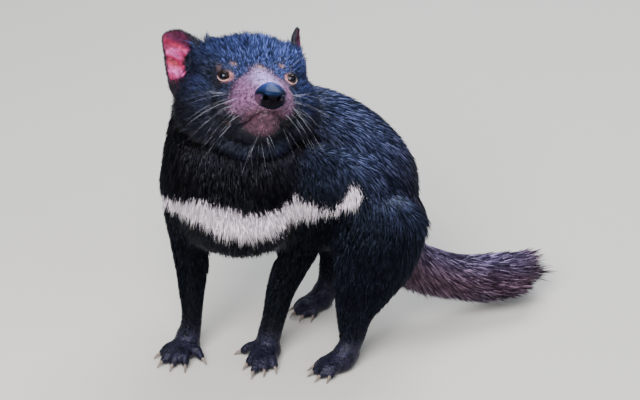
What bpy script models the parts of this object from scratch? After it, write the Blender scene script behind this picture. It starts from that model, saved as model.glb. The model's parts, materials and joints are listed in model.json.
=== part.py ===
"""A Tasmanian devil at life size, as a museum's still model: it stands hunched, its body curled to its left
so that the chest faces the viewer, and looks up. Metres, with +Z up, +X towards the viewer and +Y from the
chest towards the tail. The solids hold the coat, out to the tips of the hair.

The body is a set of masses, each a sweep through a few named sections or an ellipsoid. They are fused,
smoothed and thinned to one skin of faces, then parted by thin shells and slabs. The ears, eyes, nose pad and
claws are solids of their own, and sit in pockets of the body a hair wider than they are."""

import math

import bmesh
import bpy
from mathutils import Matrix, Vector
from mathutils.bvhtree import BVHTree

MM = 0.001
GAP = 0.0003
CUT = 0.0004
BULK_VOXEL = 0.0021
SMOOTH_ROUNDS = 120
BODY_TRIANGLES = 2900
SWEEP_SIDES = 24
STEPS_BETWEEN = 6
CAP_RINGS = 4

# The head's own frame: its origin is midway between the eyes
HEAD_PLACE = Vector((0.004, 0.0850, 0.3178))
HEAD_YAW = math.radians(18)
HEAD_PITCH = math.radians(28)
HEAD_ROLL = math.radians(-10)

# A section is (x, y, z, half width, half depth)
TRUNK = [
    (0.006, 0.062, 0.170, 0.066, 0.056),
    (-0.018, 0.067, 0.176, 0.086, 0.070),
    (-0.054, 0.080, 0.184, 0.092, 0.078),
    (-0.088, 0.112, 0.184, 0.082, 0.078),
    (-0.084, 0.152, 0.176, 0.074, 0.078),
    (-0.060, 0.184, 0.160, 0.070, 0.073),
    (-0.044, 0.204, 0.136, 0.056, 0.056),
]
NECK = [
    (-0.058, 0.066, 0.292, 0.062, 0.048),
    (-0.050, 0.065, 0.264, 0.073, 0.060),
    (-0.038, 0.066, 0.230, 0.083, 0.070),
    (-0.026, 0.068, 0.196, 0.086, 0.077),
    (-0.020, 0.068, 0.164, 0.076, 0.070),
]
TAIL = [
    (-0.046, 0.216, 0.108, 0.028, 0.034),
    (-0.052, 0.244, 0.080, 0.023, 0.026),
    (-0.066, 0.284, 0.054, 0.022, 0.024),
    (-0.088, 0.330, 0.038, 0.021, 0.022),
    (-0.110, 0.374, 0.034, 0.014, 0.015),
    (-0.120, 0.396, 0.034, 0.006, 0.006),
]
ARM_RIGHT = [
    (-0.030, 0.016, 0.200, 0.036, 0.042),
    (-0.028, 0.012, 0.155, 0.029, 0.036),
    (-0.020, 0.010, 0.115, 0.020, 0.025),
    (-0.010, 0.011, 0.075, 0.0140, 0.0160),
    (-0.003, 0.012, 0.040, 0.0110, 0.0125),
    (0.002, 0.009, 0.018, 0.0125, 0.0110),
]
ARM_LEFT = [
    (-0.006, 0.138, 0.196, 0.036, 0.044),
    (-0.010, 0.136, 0.160, 0.032, 0.040),
    (-0.010, 0.124, 0.118, 0.022, 0.028),
    (-0.002, 0.107, 0.078, 0.0160, 0.0180),
    (0.004, 0.098, 0.042, 0.0125, 0.0140),
    (0.010, 0.092, 0.020, 0.0130, 0.0115),
]
LEG_LEFT = [
    (0.000, 0.208, 0.155, 0.042, 0.050),
    (0.014, 0.202, 0.124, 0.034, 0.048),
    (0.022, 0.191, 0.090, 0.024, 0.036),
    (0.024, 0.182, 0.056, 0.0150, 0.0205),
    (0.026, 0.179, 0.030, 0.0120, 0.0135),
    (0.031, 0.174, 0.015, 0.0125, 0.0110),
]
LEG_RIGHT = [
    (-0.086, 0.202, 0.152, 0.040, 0.050),
    (-0.100, 0.188, 0.120, 0.033, 0.045),
    (-0.102, 0.172, 0.086, 0.022, 0.032),
    (-0.102, 0.162, 0.052, 0.0145, 0.0180),
    (-0.100, 0.157, 0.030, 0.0120, 0.0135),
    (-0.094, 0.150, 0.015, 0.0120, 0.0110),
]

# (x, y, z, radius along the side, along the back, upright, yaw of the side axis in degrees)
BODY_MASSES = [
    (-0.010, 0.138, 0.186, 0.034, 0.042, 0.050, 20),
    (-0.030, 0.014, 0.186, 0.030, 0.036, 0.048, 20),
    (-0.018, 0.172, 0.170, 0.050, 0.048, 0.058, 50),
    (0.002, 0.205, 0.138, 0.038, 0.050, 0.052, 80),
    (-0.086, 0.198, 0.138, 0.038, 0.048, 0.052, 80),
]

# In the head's frame, in millimetres: (left, forward, up, half width, half length, half height)
HEAD_MASSES = [
    (0, -52, 5, 63, 50, 45),
    (0, -22, -6, 44, 34, 27),
    (0, -40, -34, 64, 44, 38),
    (0, -64, -58, 56, 40, 38),
    (0, 26, -37, 19, 20, 13),
]
HEAD_PAIRS = [
    (42, -44, -30, 33, 38, 40),
    (25, -18, 6, 15, 18, 12),
    (26, -6, -28, 20, 26, 20),
    (22, 12, -28, 13, 18, 12),
]
# In the head's frame: (forward, up, half width, half height) down the muzzle and the lower jaw
MUZZLE = [
    (-26, -14, 42, 28),
    (0, -18, 37, 25),
    (22, -22, 33, 21.5),
    (38, -24, 28, 18),
    (47, -25, 17, 13),
]
JAW = [
    (-26, -46, 38, 22),
    (-4, -47, 29, 19),
    (14, -47, 20, 15),
    (28, -46, 14, 12.5),
]

# A paw: its heel's place, the yaw that it points to, each toe's (yaw from that line, reach from the heel)
# and the half width of its sole
PAWS = {
    "front_right": dict(
        heel=(0.002, 0.006),
        yaw=-12,
        toes=[(-50, 0.029), (-27, 0.037), (-8, 0.037), (12, 0.036), (48, 0.028)],
        pad=0.0165,
    ),
    "front_left": dict(
        heel=(0.010, 0.091),
        yaw=-10,
        toes=[(-78, 0.026), (-28, 0.032), (-8, 0.043), (6, 0.037), (24, 0.032)],
        pad=0.0160,
    ),
    "hind_left": dict(
        heel=(0.034, 0.170),
        yaw=-52,
        toes=[(-24, 0.029), (-8, 0.034), (9, 0.034), (25, 0.029)],
        pad=0.0160,
    ),
    "hind_right": dict(
        heel=(-0.092, 0.148),
        yaw=-42,
        toes=[(-24, 0.031), (-8, 0.036), (9, 0.036), (25, 0.031)],
        pad=0.0155,
    ),
}
TOE_RADIUS = 0.0056
KNUCKLE_HEIGHT = 0.0105
TOE_TIP_HEIGHT = 0.0052
CLAW_LENGTH = 0.0095
CLAW_RADIUS = 0.0022

EYE_PLACE = (34.5, -5, 0)
EYE_RADIUS = 7.2
NOSE_PLACE = (0, 50, -21.5)
NOSE_SIZE = (16, 10, 14)

# An ear in the head's frame: the middle of its root, then the ways that its height, width and opening run
EARS = {
    "ear_right": dict(root=(-60, -56, -6), height=(-0.24, -0.10, 1.0), width=(0.72, 0.69, 0.10)),
    "ear_left": dict(root=(57, -60, 2), height=(0.03, -0.10, 1.0), width=(-0.34, 0.94, 0.10)),
}
EAR_HEIGHT = 57
EAR_HALF_WIDTH = 28
EAR_CUP = 6
EAR_THICKNESS = 0.0026
EAR_ROOT_DEPTH = 14

# Cuts. A shell is a sweep or a ball whose wall is CUT thick; a slab is a thin plate across a limb
SHELLS = {
    "upper_arm_right": [
        (-0.030, 0.000, 0.172, 0.040, 0.048),
        (-0.028, 0.000, 0.150, 0.042, 0.050),
        (-0.022, 0.004, 0.122, 0.036, 0.042),
    ],
    "upper_arm_left": [
        (0.002, 0.136, 0.174, 0.026, 0.044),
        (-0.004, 0.134, 0.150, 0.030, 0.048),
        (-0.006, 0.122, 0.122, 0.036, 0.046),
    ],
    "thigh_left": [
        (0.030, 0.218, 0.146, 0.048, 0.052),
        (0.032, 0.214, 0.122, 0.048, 0.050),
        (0.025, 0.196, 0.092, 0.042, 0.050),
    ],
    "thigh_right": [
        (-0.120, 0.208, 0.144, 0.044, 0.054),
        (-0.122, 0.200, 0.120, 0.044, 0.054),
        (-0.108, 0.176, 0.090, 0.042, 0.048),
    ],
}
HEAD_AND_NECK = dict(centre=(-0.012, 0.070, 0.307), radii=(0.118, 0.112, 0.100))
# (x, y, z of the middle, x, y, z of the way it faces, half size)
SLABS = [
    (-0.024, 0.068, 0.254, -0.30, 0.0, -1.0, 0.100),
    (-0.053, 0.252, 0.073, -0.15, 0.78, -0.60, 0.036),
    (-0.078, 0.312, 0.044, -0.42, 0.85, -0.30, 0.036),
    (-0.003, 0.012, 0.034, 0.0, 0.0, 1.0, 0.026),
    (0.006, 0.096, 0.034, 0.0, 0.0, 1.0, 0.026),
    (0.027, 0.178, 0.030, 0.0, 0.0, 1.0, 0.026),
    (-0.099, 0.156, 0.030, 0.0, 0.0, 1.0, 0.026),
]
# A point inside each piece of the body
LABELS = {
    "head": (0.000, 0.080, 0.300),
    "neck": (-0.020, 0.068, 0.235),
    "trunk": (-0.060, 0.110, 0.180),
    "tail_root": (-0.062, 0.272, 0.060),
    "tail_tip": (-0.094, 0.342, 0.036),
    "upper_arm_right": (-0.026, 0.012, 0.150),
    "upper_arm_left": (-0.010, 0.136, 0.150),
    "forearm_right": (-0.010, 0.011, 0.070),
    "forearm_left": (0.000, 0.105, 0.070),
    "thigh_left": (0.018, 0.200, 0.120),
    "thigh_right": (-0.100, 0.188, 0.120),
    "shank_left": (0.024, 0.182, 0.050),
    "shank_right": (-0.102, 0.161, 0.050),
    "paw_front_right": (0.002, 0.008, 0.015),
    "paw_front_left": (0.010, 0.091, 0.015),
    "paw_hind_left": (0.031, 0.174, 0.013),
    "paw_hind_right": (-0.094, 0.150, 0.013),
}
SMALLEST_PIECE = 1e-7
LIMB_SIDES = {
    "upper_arm_right": (0.3, 1, 0),
    "upper_arm_left": (0.3, 1, 0),
    "thigh_left": (1, 0.3, 0),
    "thigh_right": (1, 0.3, 0),
}

# Colour and roughness of each finish, and the start of the names that take one other than the coat
FINISHES = {
    "coat": ((0.012, 0.012, 0.016), 0.6),
    "bare_skin": ((0.085, 0.060, 0.070), 0.6),
    "ear_skin": ((0.420, 0.090, 0.110), 0.55),
    "nose_skin": ((0.012, 0.011, 0.014), 0.25),
    "eye": ((0.010, 0.008, 0.007), 0.08),
    "claw": ((0.120, 0.095, 0.080), 0.35),
}
FINISH_OF = {"paw": "bare_skin", "ear": "ear_skin", "nose": "nose_skin", "eye": "eye", "claw": "claw"}


def head_turn():
    """The head's turn: columns are its forward, left and up directions."""
    yaw = Matrix.Rotation(HEAD_YAW, 3, "Z")
    pitch = Matrix.Rotation(-HEAD_PITCH, 3, "Y")
    roll = Matrix.Rotation(HEAD_ROLL, 3, "X")
    return yaw @ pitch @ roll


HEAD_TURN = head_turn()


def in_head(left, forward, up):
    """A point given in millimetres in the head's frame."""
    return HEAD_PLACE + HEAD_TURN @ Vector((forward, left, up)) * MM


def spline(rows, steps):
    """Rows of numbers with steps between each two, on a Catmull-Rom line through them."""
    rows = [list(row) for row in rows]
    before = [2 * a - b for a, b in zip(rows[0], rows[1])]
    after = [2 * a - b for a, b in zip(rows[-1], rows[-2])]
    knots = [before] + rows + [after]
    line = []
    for i in range(len(rows) - 1):
        p0, p1, p2, p3 = knots[i : i + 4]
        for k in range(steps):
            t = k / steps
            line.append(
                [
                    b + 0.5 * t * (c - a + t * (2 * a - 5 * b + 4 * c - d + t * (3 * (b - c) + d - a)))
                    for a, b, c, d in zip(p0, p1, p2, p3)
                ]
            )
    return line + [rows[-1]]


def add_sweep(mesh, rows, side=None, sides=SWEEP_SIDES, steps=STEPS_BETWEEN, caps=CAP_RINGS):
    """A closed tube through sections of (x, y, z, half width, half depth), with rounded ends. Its width
    runs along side, or level where no side is given."""
    line = spline(rows, steps)
    centres = [Vector(row[:3]) for row in line]
    rings = []
    for i, row in enumerate(line):
        along = (centres[min(i + 1, len(line) - 1)] - centres[max(i - 1, 0)]).normalized()
        across = Vector(side) if side else along.cross(Vector((0, 0, 1)))
        across = (across - along * across.dot(along)).normalized()
        rings.append((centres[i], along, across, across.cross(along), row[3], row[4]))
    stations = []
    for end, sign in ((rings[0], -1), (rings[-1], 1)):
        centre, along, across, up, width, depth = end
        dome = []
        for k in range(1, caps + 1):
            angle = math.pi / 2 * k / caps
            reach = 0.8 * min(width, depth) * math.sin(angle) * sign
            shrink = math.cos(angle)
            dome.append((centre + along * reach, along, across, up, width * shrink, depth * shrink))
        stations.append(dome)
    rings = stations[0][:-1][::-1] + rings + stations[1][:-1]
    poles = [mesh.verts.new(stations[0][-1][0]), mesh.verts.new(stations[1][-1][0])]
    loops = []
    turns = [2 * math.pi * j / sides for j in range(sides)]
    for centre, _, across, up, width, depth in rings:
        places = [centre + across * width * math.cos(a) + up * depth * math.sin(a) for a in turns]
        loops.append([mesh.verts.new(place) for place in places])
    for a, b in zip(loops, loops[1:]):
        for j in range(sides):
            k = (j + 1) % sides
            mesh.faces.new((a[j], a[k], b[k], b[j]))
    for j in range(sides):
        k = (j + 1) % sides
        mesh.faces.new((poles[0], loops[0][k], loops[0][j]))
        mesh.faces.new((poles[1], loops[-1][j], loops[-1][k]))


def add_ball(mesh, centre, radii, turn=None, rings=12, sides=24):
    """An ellipsoid: radii along the three columns of turn."""
    place = Matrix.Translation(Vector(centre))
    if turn is not None:
        place = place @ turn.to_4x4()
    place = place @ Matrix.Diagonal((*radii, 1))
    bmesh.ops.create_uvsphere(mesh, u_segments=sides, v_segments=rings, radius=1, matrix=place)


def add_head_ball(mesh, left, forward, up, half_width, half_length, half_height):
    radii = (half_length * MM, half_width * MM, half_height * MM)
    add_ball(mesh, in_head(left, forward, up), radii, HEAD_TURN)


def toe_line(paw, toe):
    """A toe's root, knuckle, tip and the level direction that it points in."""
    yaw, reach = toe
    angle = math.radians(paw["yaw"] + yaw)
    out = Vector((math.cos(angle), math.sin(angle), 0))
    heel = Vector((*paw["heel"], 0))
    root = heel + out * 0.35 * reach + Vector((0, 0, KNUCKLE_HEIGHT))
    knuckle = heel + out * 0.72 * reach + Vector((0, 0, KNUCKLE_HEIGHT))
    tip = heel + out * reach + Vector((0, 0, TOE_TIP_HEIGHT))
    return root, knuckle, tip, out


def add_paw(mesh, paw):
    heel = Vector((*paw["heel"], 0))
    angle = math.radians(paw["yaw"])
    turn = Matrix.Rotation(angle, 3, "Z")
    out = turn @ Vector((1, 0, 0))
    add_ball(mesh, heel + out * 0.006 + Vector((0, 0, 0.009)), (0.020, paw["pad"], 0.011), turn)
    add_ball(mesh, heel - out * 0.004 + Vector((0, 0, 0.015)), (0.016, 0.013, 0.015), turn)
    for toe in paw["toes"]:
        root, knuckle, tip, _ = toe_line(paw, toe)
        rows = [
            (*root, TOE_RADIUS * 1.1, TOE_RADIUS * 1.1),
            (*knuckle, TOE_RADIUS, TOE_RADIUS * 1.05),
            (*tip, TOE_RADIUS * 0.82, TOE_RADIUS * 0.82),
        ]
        add_sweep(mesh, rows, sides=12, steps=3)


def body_masses(mesh):
    add_sweep(mesh, TRUNK)
    add_sweep(mesh, NECK, side=(-0.3, 1, 0))
    add_sweep(mesh, TAIL)
    add_sweep(mesh, ARM_RIGHT, side=(0.3, 1, 0))
    add_sweep(mesh, ARM_LEFT, side=(0.3, 1, 0))
    add_sweep(mesh, LEG_LEFT, side=(1, 0.3, 0))
    add_sweep(mesh, LEG_RIGHT, side=(1, 0.3, 0))
    for x, y, z, across, along, up, yaw in BODY_MASSES:
        turn = Matrix.Rotation(math.radians(yaw - 90), 3, "Z")
        add_ball(mesh, (x, y, z), (along, across, up), turn)
    for mass in HEAD_MASSES:
        add_head_ball(mesh, *mass)
    for left, *rest in HEAD_PAIRS:
        for sign in (1, -1):
            add_head_ball(mesh, sign * left, *rest)
    level = HEAD_TURN @ Vector((0, 1, 0))
    for line in (MUZZLE, JAW):
        add_sweep(mesh, [(*in_head(0, f, u), w * MM, h * MM) for f, u, w, h in line], side=level)
    for paw in PAWS.values():
        add_paw(mesh, paw)


def ear_surface(mesh, ear, steps_up=7, steps_across=6):
    """An open cup with a round tip: its edges come forward, and its root narrows into the head."""
    root = Vector(ear["root"])
    up = Vector(ear["height"]).normalized()
    across = Vector(ear["width"])
    across = (across - up * across.dot(up)).normalized()
    facing = across.cross(up)
    if facing.y < 0:
        facing = -facing
    rows = []
    for i in range(steps_up + 1):
        rise = i / steps_up
        angle = rise * math.radians(86)
        height = EAR_HEIGHT * math.sin(angle) - EAR_ROOT_DEPTH * (1 - rise) ** 2
        half = EAR_HALF_WIDTH * (math.cos(angle) ** 0.8 - 0.42 * (1 - rise) ** 2)
        row = []
        for j in range(steps_across + 1):
            u = 2 * j / steps_across - 1
            cup = EAR_CUP * (u * u * half / EAR_HALF_WIDTH - 0.6 * (1 - rise))
            place = root + up * height + across * half * u + facing * cup
            row.append(mesh.verts.new(in_head(*place)))
        rows.append(row)
    for low, high in zip(rows, rows[1:]):
        for j in range(steps_across):
            mesh.faces.new((low[j], low[j + 1], high[j + 1], high[j]))


def claw_rows(paw, toe):
    _, _, tip, out = toe_line(paw, toe)
    length = CLAW_LENGTH
    drop = tip.z - 0.0012
    rows = []
    for part in (-0.35, 0.2, 0.6, 1.0):
        fall = drop * max(part, 0) ** 1.6
        radius = CLAW_RADIUS * (1 - 0.78 * max(part, 0) ** 1.3)
        centre = tip + out * (length * (part * 0.75 + 0.22)) - Vector((0, 0, fall))
        rows.append((*centre, radius * 0.8, radius))
    return rows


def grow(obj, reach):
    """Moves an object's faces out along its normals."""
    mesh = bmesh.new()
    mesh.from_mesh(obj.data)
    mesh.normal_update()
    moves = [(vert, vert.normal * reach) for vert in mesh.verts]
    for vert, move in moves:
        vert.co += move
    mesh.to_mesh(obj.data)
    mesh.free()


def new_object(name, mesh, collection):
    data = bpy.data.meshes.new(name)
    mesh.to_mesh(data)
    mesh.free()
    obj = bpy.data.objects.new(name, data)
    collection.objects.link(obj)
    if collection is cutters:
        obj.hide_render = True
        obj.display_type = "WIRE"
    return obj


def made_plain(obj):
    """Puts an object's modifiers into its mesh."""
    bpy.context.view_layer.update()
    graph = bpy.context.evaluated_depsgraph_get()
    data = bpy.data.meshes.new_from_object(obj.evaluated_get(graph))
    obj.modifiers.clear()
    old = obj.data
    obj.data = data
    bpy.data.meshes.remove(old)
    return obj


def cut(obj, cutter):
    boolean = obj.modifiers.new("cut", "BOOLEAN")
    boolean.operation = "DIFFERENCE"
    boolean.object = cutter
    made_plain(obj)


def pocket(obj, piece):
    """Cuts a piece's seat into obj, a gap wider than the piece."""
    cutter = bpy.data.objects.new(piece.name + "_seat", piece.data.copy())
    cutters.objects.link(cutter)
    cutter.hide_render = True
    cutter.display_type = "WIRE"
    grow(cutter, 2 * GAP if piece.name.startswith("ear") else GAP)
    cut(obj, cutter)


def shell(name, build):
    """A cutter with a thin wall: build(mesh, reach) adds a closed form, grown by reach."""
    mesh = bmesh.new()
    outer = bmesh.new()
    for wall, reach in ((mesh, 0), (outer, CUT)):
        build(wall, reach)
        bmesh.ops.recalc_face_normals(wall, faces=wall.faces)
        bmesh.ops.triangulate(wall, faces=wall.faces, quad_method="FIXED", ngon_method="EAR_CLIP")
    bmesh.ops.reverse_faces(mesh, faces=mesh.faces)
    data = bpy.data.meshes.new(name)
    outer.to_mesh(data)
    outer.free()
    mesh.from_mesh(data)
    bpy.data.meshes.remove(data)
    return new_object(name + "_shell", mesh, cutters)


def limb_shell(name, rows, side):
    def build(mesh, reach):
        grown = [(x, y, z, w + reach, d + reach) for x, y, z, w, d in rows]
        add_sweep(mesh, grown, side=side, sides=12, steps=1, caps=2)

    return shell(name, build)


def head_shell():
    def build(mesh, reach):
        radii = [radius + reach for radius in HEAD_AND_NECK["radii"]]
        add_ball(mesh, HEAD_AND_NECK["centre"], radii, rings=9, sides=16)

    return shell("head_and_neck", build)


def slab(index, x, y, z, facing_x, facing_y, facing_z, half):
    facing = Vector((facing_x, facing_y, facing_z)).normalized()
    turn = facing.to_track_quat("Z", "Y").to_matrix().to_4x4()
    place = Matrix.Translation((x, y, z)) @ turn @ Matrix.Diagonal((2 * half, 2 * half, CUT, 1))
    mesh = bmesh.new()
    bmesh.ops.create_cube(mesh, size=1, matrix=place)
    return new_object(f"slab_{index}", mesh, cutters)


def inside(tree, point):
    """Whether a point lies in a closed mesh, by counting the walls on a line out of it."""
    way = Vector((0.31, 0.52, 0.79)).normalized()
    count = 0
    start = Vector(point)
    while True:
        hit, _, _, _ = tree.ray_cast(start, way)
        if hit is None:
            return count % 2 == 1
        count += 1
        start = hit + way * 1e-6


def loose_pieces(obj):
    """Splits an object into its separate bodies, and gives them as new objects."""
    mesh = bmesh.new()
    mesh.from_mesh(obj.data)
    left = set(mesh.faces)
    groups = []
    while left:
        stack = [left.pop()]
        group = list(stack)
        while stack:
            for edge in stack.pop().edges:
                for face in edge.link_faces:
                    if face in left:
                        left.remove(face)
                        stack.append(face)
                        group.append(face)
        groups.append({face.index for face in group})
    mesh.free()
    pieces = []
    for group in groups:
        part = bmesh.new()
        part.from_mesh(obj.data)
        part.faces.ensure_lookup_table()
        bmesh.ops.delete(part, geom=[f for f in part.faces if f.index not in group], context="FACES")
        if part.calc_volume() < SMALLEST_PIECE:
            part.free()
            continue
        pieces.append(new_object("piece", part, solids))
    bpy.data.objects.remove(obj)
    return pieces


for old in list(bpy.data.objects):
    bpy.data.objects.remove(old)
solids = bpy.data.collections.new("tasmanian_devil")
cutters = bpy.data.collections.new("cutters")
bpy.context.scene.collection.children.link(solids)
bpy.context.scene.collection.children.link(cutters)


def softness(point):
    """How far the joins between masses are rounded at a point: wholly on the trunk, hardly on face and paws."""
    forward = (HEAD_TURN.transposed() @ (point - HEAD_PLACE)).x / MM
    away = (point - HEAD_PLACE).length / MM
    if away < 120 and point.z > 0.22:
        return 0.12 + 0.5 * min(max((-40 - forward) / 50, 0), 1)
    if point.y > 0.25:
        return 0.25
    return 0.06 + 0.94 * min(max((point.z - 0.075) / 0.06, 0), 1)


def make_body():
    mesh = bmesh.new()
    body_masses(mesh)
    bmesh.ops.recalc_face_normals(mesh, faces=mesh.faces)
    body = new_object("body", mesh, solids)
    remesh = body.modifiers.new("fuse", "REMESH")
    remesh.mode = "VOXEL"
    remesh.voxel_size = BULK_VOXEL
    made_plain(body)
    soft = body.vertex_groups.new(name="soft")
    for vert in body.data.vertices:
        soft.add([vert.index], softness(vert.co), "REPLACE")
    smooth = body.modifiers.new("smooth", "SMOOTH")
    smooth.factor = 0.5
    smooth.iterations = SMOOTH_ROUNDS
    smooth.vertex_group = "soft"
    made_plain(body)
    thin = body.modifiers.new("thin", "DECIMATE")
    thin.ratio = BODY_TRIANGLES / (2 * len(body.data.polygons))
    made_plain(body)
    body.vertex_groups.clear()
    below = bmesh.new()
    place = Matrix.Translation((0, 0.15, -0.05)) @ Matrix.Diagonal((1, 1, 0.1, 1))
    bmesh.ops.create_cube(below, size=1, matrix=place)
    cut(body, new_object("floor_cut", below, cutters))
    return body


def make_ear(name, ear):
    mesh = bmesh.new()
    ear_surface(mesh, ear)
    bmesh.ops.recalc_face_normals(mesh, faces=mesh.faces)
    obj = new_object(name, mesh, solids)
    wall = obj.modifiers.new("wall", "SOLIDIFY")
    wall.thickness = EAR_THICKNESS
    wall.offset = 0
    return made_plain(obj)


def make_eye(name, sign):
    mesh = bmesh.new()
    left, forward, up = EYE_PLACE
    add_ball(mesh, in_head(sign * left, forward, up), [EYE_RADIUS * MM] * 3, HEAD_TURN, rings=8, sides=12)
    return new_object(name, mesh, solids)


def make_nose():
    mesh = bmesh.new()
    left, forward, up = NOSE_PLACE
    half_width, half_length, half_height = NOSE_SIZE
    radii = (half_length * MM, half_width * MM, half_height * MM)
    add_ball(mesh, in_head(left, forward, up), radii, HEAD_TURN, rings=8, sides=12)
    return new_object("nose", mesh, solids)


def make_claws():
    claws = []
    for place, paw in PAWS.items():
        for number, toe in enumerate(paw["toes"], 1):
            mesh = bmesh.new()
            add_sweep(mesh, claw_rows(paw, toe), side=(0.2, 1, 0), sides=5, steps=1, caps=1)
            bmesh.ops.recalc_face_normals(mesh, faces=mesh.faces)
            claws.append(new_object(f"claw_{place}_{number}", mesh, solids))
    return claws


def name_pieces(pieces):
    """Gives each piece of the body the name of the label point that lies in it."""
    for piece in pieces:
        points = [vert.co for vert in piece.data.vertices]
        tree = BVHTree.FromPolygons(points, [face.vertices for face in piece.data.polygons])
        names = [name for name, point in LABELS.items() if inside(tree, point)]
        piece.name = piece.data.name = "_and_".join(names)


def make_material(name, colour, roughness):
    material = bpy.data.materials.new(name)
    material.use_nodes = True
    shader = material.node_tree.nodes["Principled BSDF"]
    shader.inputs["Base Color"].default_value = (*colour, 1)
    shader.inputs["Roughness"].default_value = roughness
    shader.inputs["Metallic"].default_value = 0
    material.diffuse_color = (*colour, 1)
    return material


def finish(objects):
    """Gives each solid its finish, and rounds the shading of all but the flat soles and thin edges."""
    materials = {name: make_material(name, colour, rough) for name, (colour, rough) in FINISHES.items()}
    for obj in objects:
        name = next((finish for word, finish in FINISH_OF.items() if obj.name.startswith(word)), "coat")
        obj.data.materials.clear()
        obj.data.materials.append(materials[name])
        for face in obj.data.polygons:
            face.use_smooth = face.normal.z > -0.99


def stand_on_origin(objects):
    """Moves everything so that the middle of the box's underside is at the origin."""
    points = [vert.co for obj in objects for vert in obj.data.vertices]
    lows = [min(point[axis] for point in points) for axis in range(3)]
    highs = [max(point[axis] for point in points) for axis in range(3)]
    move = Vector((-(lows[0] + highs[0]) / 2, -(lows[1] + highs[1]) / 2, -lows[2]))
    for obj in objects:
        obj.data.transform(Matrix.Translation(move))


body = make_body()
extras = [make_eye("eye_right", -1), make_eye("eye_left", 1), make_nose()]
extras += [make_ear(name, ear) for name, ear in EARS.items()]
extras += make_claws()
for piece in extras:
    pocket(body, piece)
for name, rows in SHELLS.items():
    cut(body, limb_shell(name, rows, LIMB_SIDES[name]))
cut(body, head_shell())
for index, numbers in enumerate(SLABS):
    cut(body, slab(index, *numbers))
pieces = loose_pieces(body)
name_pieces(pieces)
finish(pieces + extras)
stand_on_origin(pieces + extras)
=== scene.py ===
"""The looks of a life-size Tasmanian devil around its solids: one skin, its coat of tufts, and the eyes,
lids, nose pad, ears, claws and whiskers. Metres in the frame of the solids."""

import json
import math
import random

import bmesh
import bpy
import numpy as np
from mathutils import Matrix, Vector
from mathutils.bvhtree import BVHTree

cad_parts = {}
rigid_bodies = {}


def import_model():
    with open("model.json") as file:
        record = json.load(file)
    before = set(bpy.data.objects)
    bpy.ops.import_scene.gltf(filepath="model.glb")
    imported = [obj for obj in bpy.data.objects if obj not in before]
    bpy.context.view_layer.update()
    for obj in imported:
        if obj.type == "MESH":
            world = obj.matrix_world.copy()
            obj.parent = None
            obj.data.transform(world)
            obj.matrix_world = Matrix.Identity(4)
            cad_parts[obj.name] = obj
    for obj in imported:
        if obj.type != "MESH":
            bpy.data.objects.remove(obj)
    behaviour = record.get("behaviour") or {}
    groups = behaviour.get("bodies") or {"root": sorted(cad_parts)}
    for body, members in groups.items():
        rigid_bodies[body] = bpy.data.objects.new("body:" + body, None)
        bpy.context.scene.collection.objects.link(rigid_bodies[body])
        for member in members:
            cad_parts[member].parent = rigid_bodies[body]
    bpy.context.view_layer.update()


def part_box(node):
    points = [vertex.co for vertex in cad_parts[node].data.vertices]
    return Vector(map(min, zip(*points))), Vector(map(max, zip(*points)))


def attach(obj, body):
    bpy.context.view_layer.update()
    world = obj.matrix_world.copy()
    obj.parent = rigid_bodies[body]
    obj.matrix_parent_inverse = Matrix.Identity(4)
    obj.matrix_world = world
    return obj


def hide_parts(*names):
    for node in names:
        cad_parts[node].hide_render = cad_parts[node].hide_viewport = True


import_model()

MM = 0.001

# Anatomy, in its own frame: the chest faces +X, the body curls round to +Y. Places in metres
HEAD_PLACE = Vector((0.004, 0.0850, 0.3178))
HEAD_YAW = math.radians(18)
HEAD_PITCH = math.radians(28)
HEAD_ROLL = math.radians(-10)
# A section is (x, y, z, half width, half depth), out to the coat's tips
TRUNK = [
    (0.006, 0.062, 0.170, 0.066, 0.056),
    (-0.018, 0.067, 0.176, 0.086, 0.070),
    (-0.054, 0.080, 0.184, 0.092, 0.078),
    (-0.088, 0.112, 0.184, 0.082, 0.078),
    (-0.084, 0.152, 0.176, 0.074, 0.078),
    (-0.060, 0.184, 0.160, 0.070, 0.073),
    (-0.044, 0.204, 0.136, 0.056, 0.056),
]
NECK = [
    (-0.058, 0.066, 0.292, 0.062, 0.048),
    (-0.050, 0.065, 0.264, 0.073, 0.060),
    (-0.038, 0.066, 0.230, 0.083, 0.070),
    (-0.026, 0.068, 0.196, 0.086, 0.077),
    (-0.020, 0.068, 0.164, 0.076, 0.070),
]
TAIL = [
    (-0.046, 0.216, 0.108, 0.028, 0.034),
    (-0.052, 0.244, 0.080, 0.023, 0.026),
    (-0.066, 0.284, 0.054, 0.022, 0.024),
    (-0.088, 0.330, 0.038, 0.021, 0.022),
    (-0.110, 0.374, 0.034, 0.014, 0.015),
    (-0.120, 0.396, 0.034, 0.006, 0.006),
]
ARM_RIGHT = [
    (-0.030, 0.016, 0.200, 0.036, 0.042),
    (-0.028, 0.012, 0.155, 0.029, 0.036),
    (-0.020, 0.0130, 0.115, 0.0235, 0.025),
    (-0.010, 0.0125, 0.075, 0.0158, 0.0160),
    (-0.003, 0.012, 0.040, 0.0110, 0.0125),
    (0.002, 0.009, 0.018, 0.0125, 0.0110),
]
ARM_LEFT = [
    (-0.006, 0.138, 0.196, 0.036, 0.044),
    (-0.010, 0.136, 0.160, 0.032, 0.040),
    (-0.010, 0.124, 0.118, 0.022, 0.028),
    (-0.002, 0.107, 0.078, 0.0160, 0.0180),
    (0.004, 0.098, 0.042, 0.0125, 0.0140),
    (0.010, 0.092, 0.020, 0.0130, 0.0115),
]
LEG_LEFT = [
    (0.000, 0.208, 0.155, 0.042, 0.050),
    (0.014, 0.202, 0.124, 0.034, 0.048),
    (0.022, 0.191, 0.090, 0.024, 0.036),
    (0.024, 0.182, 0.056, 0.0150, 0.0205),
    (0.026, 0.179, 0.030, 0.0120, 0.0135),
    (0.031, 0.174, 0.015, 0.0125, 0.0110),
]
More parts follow.
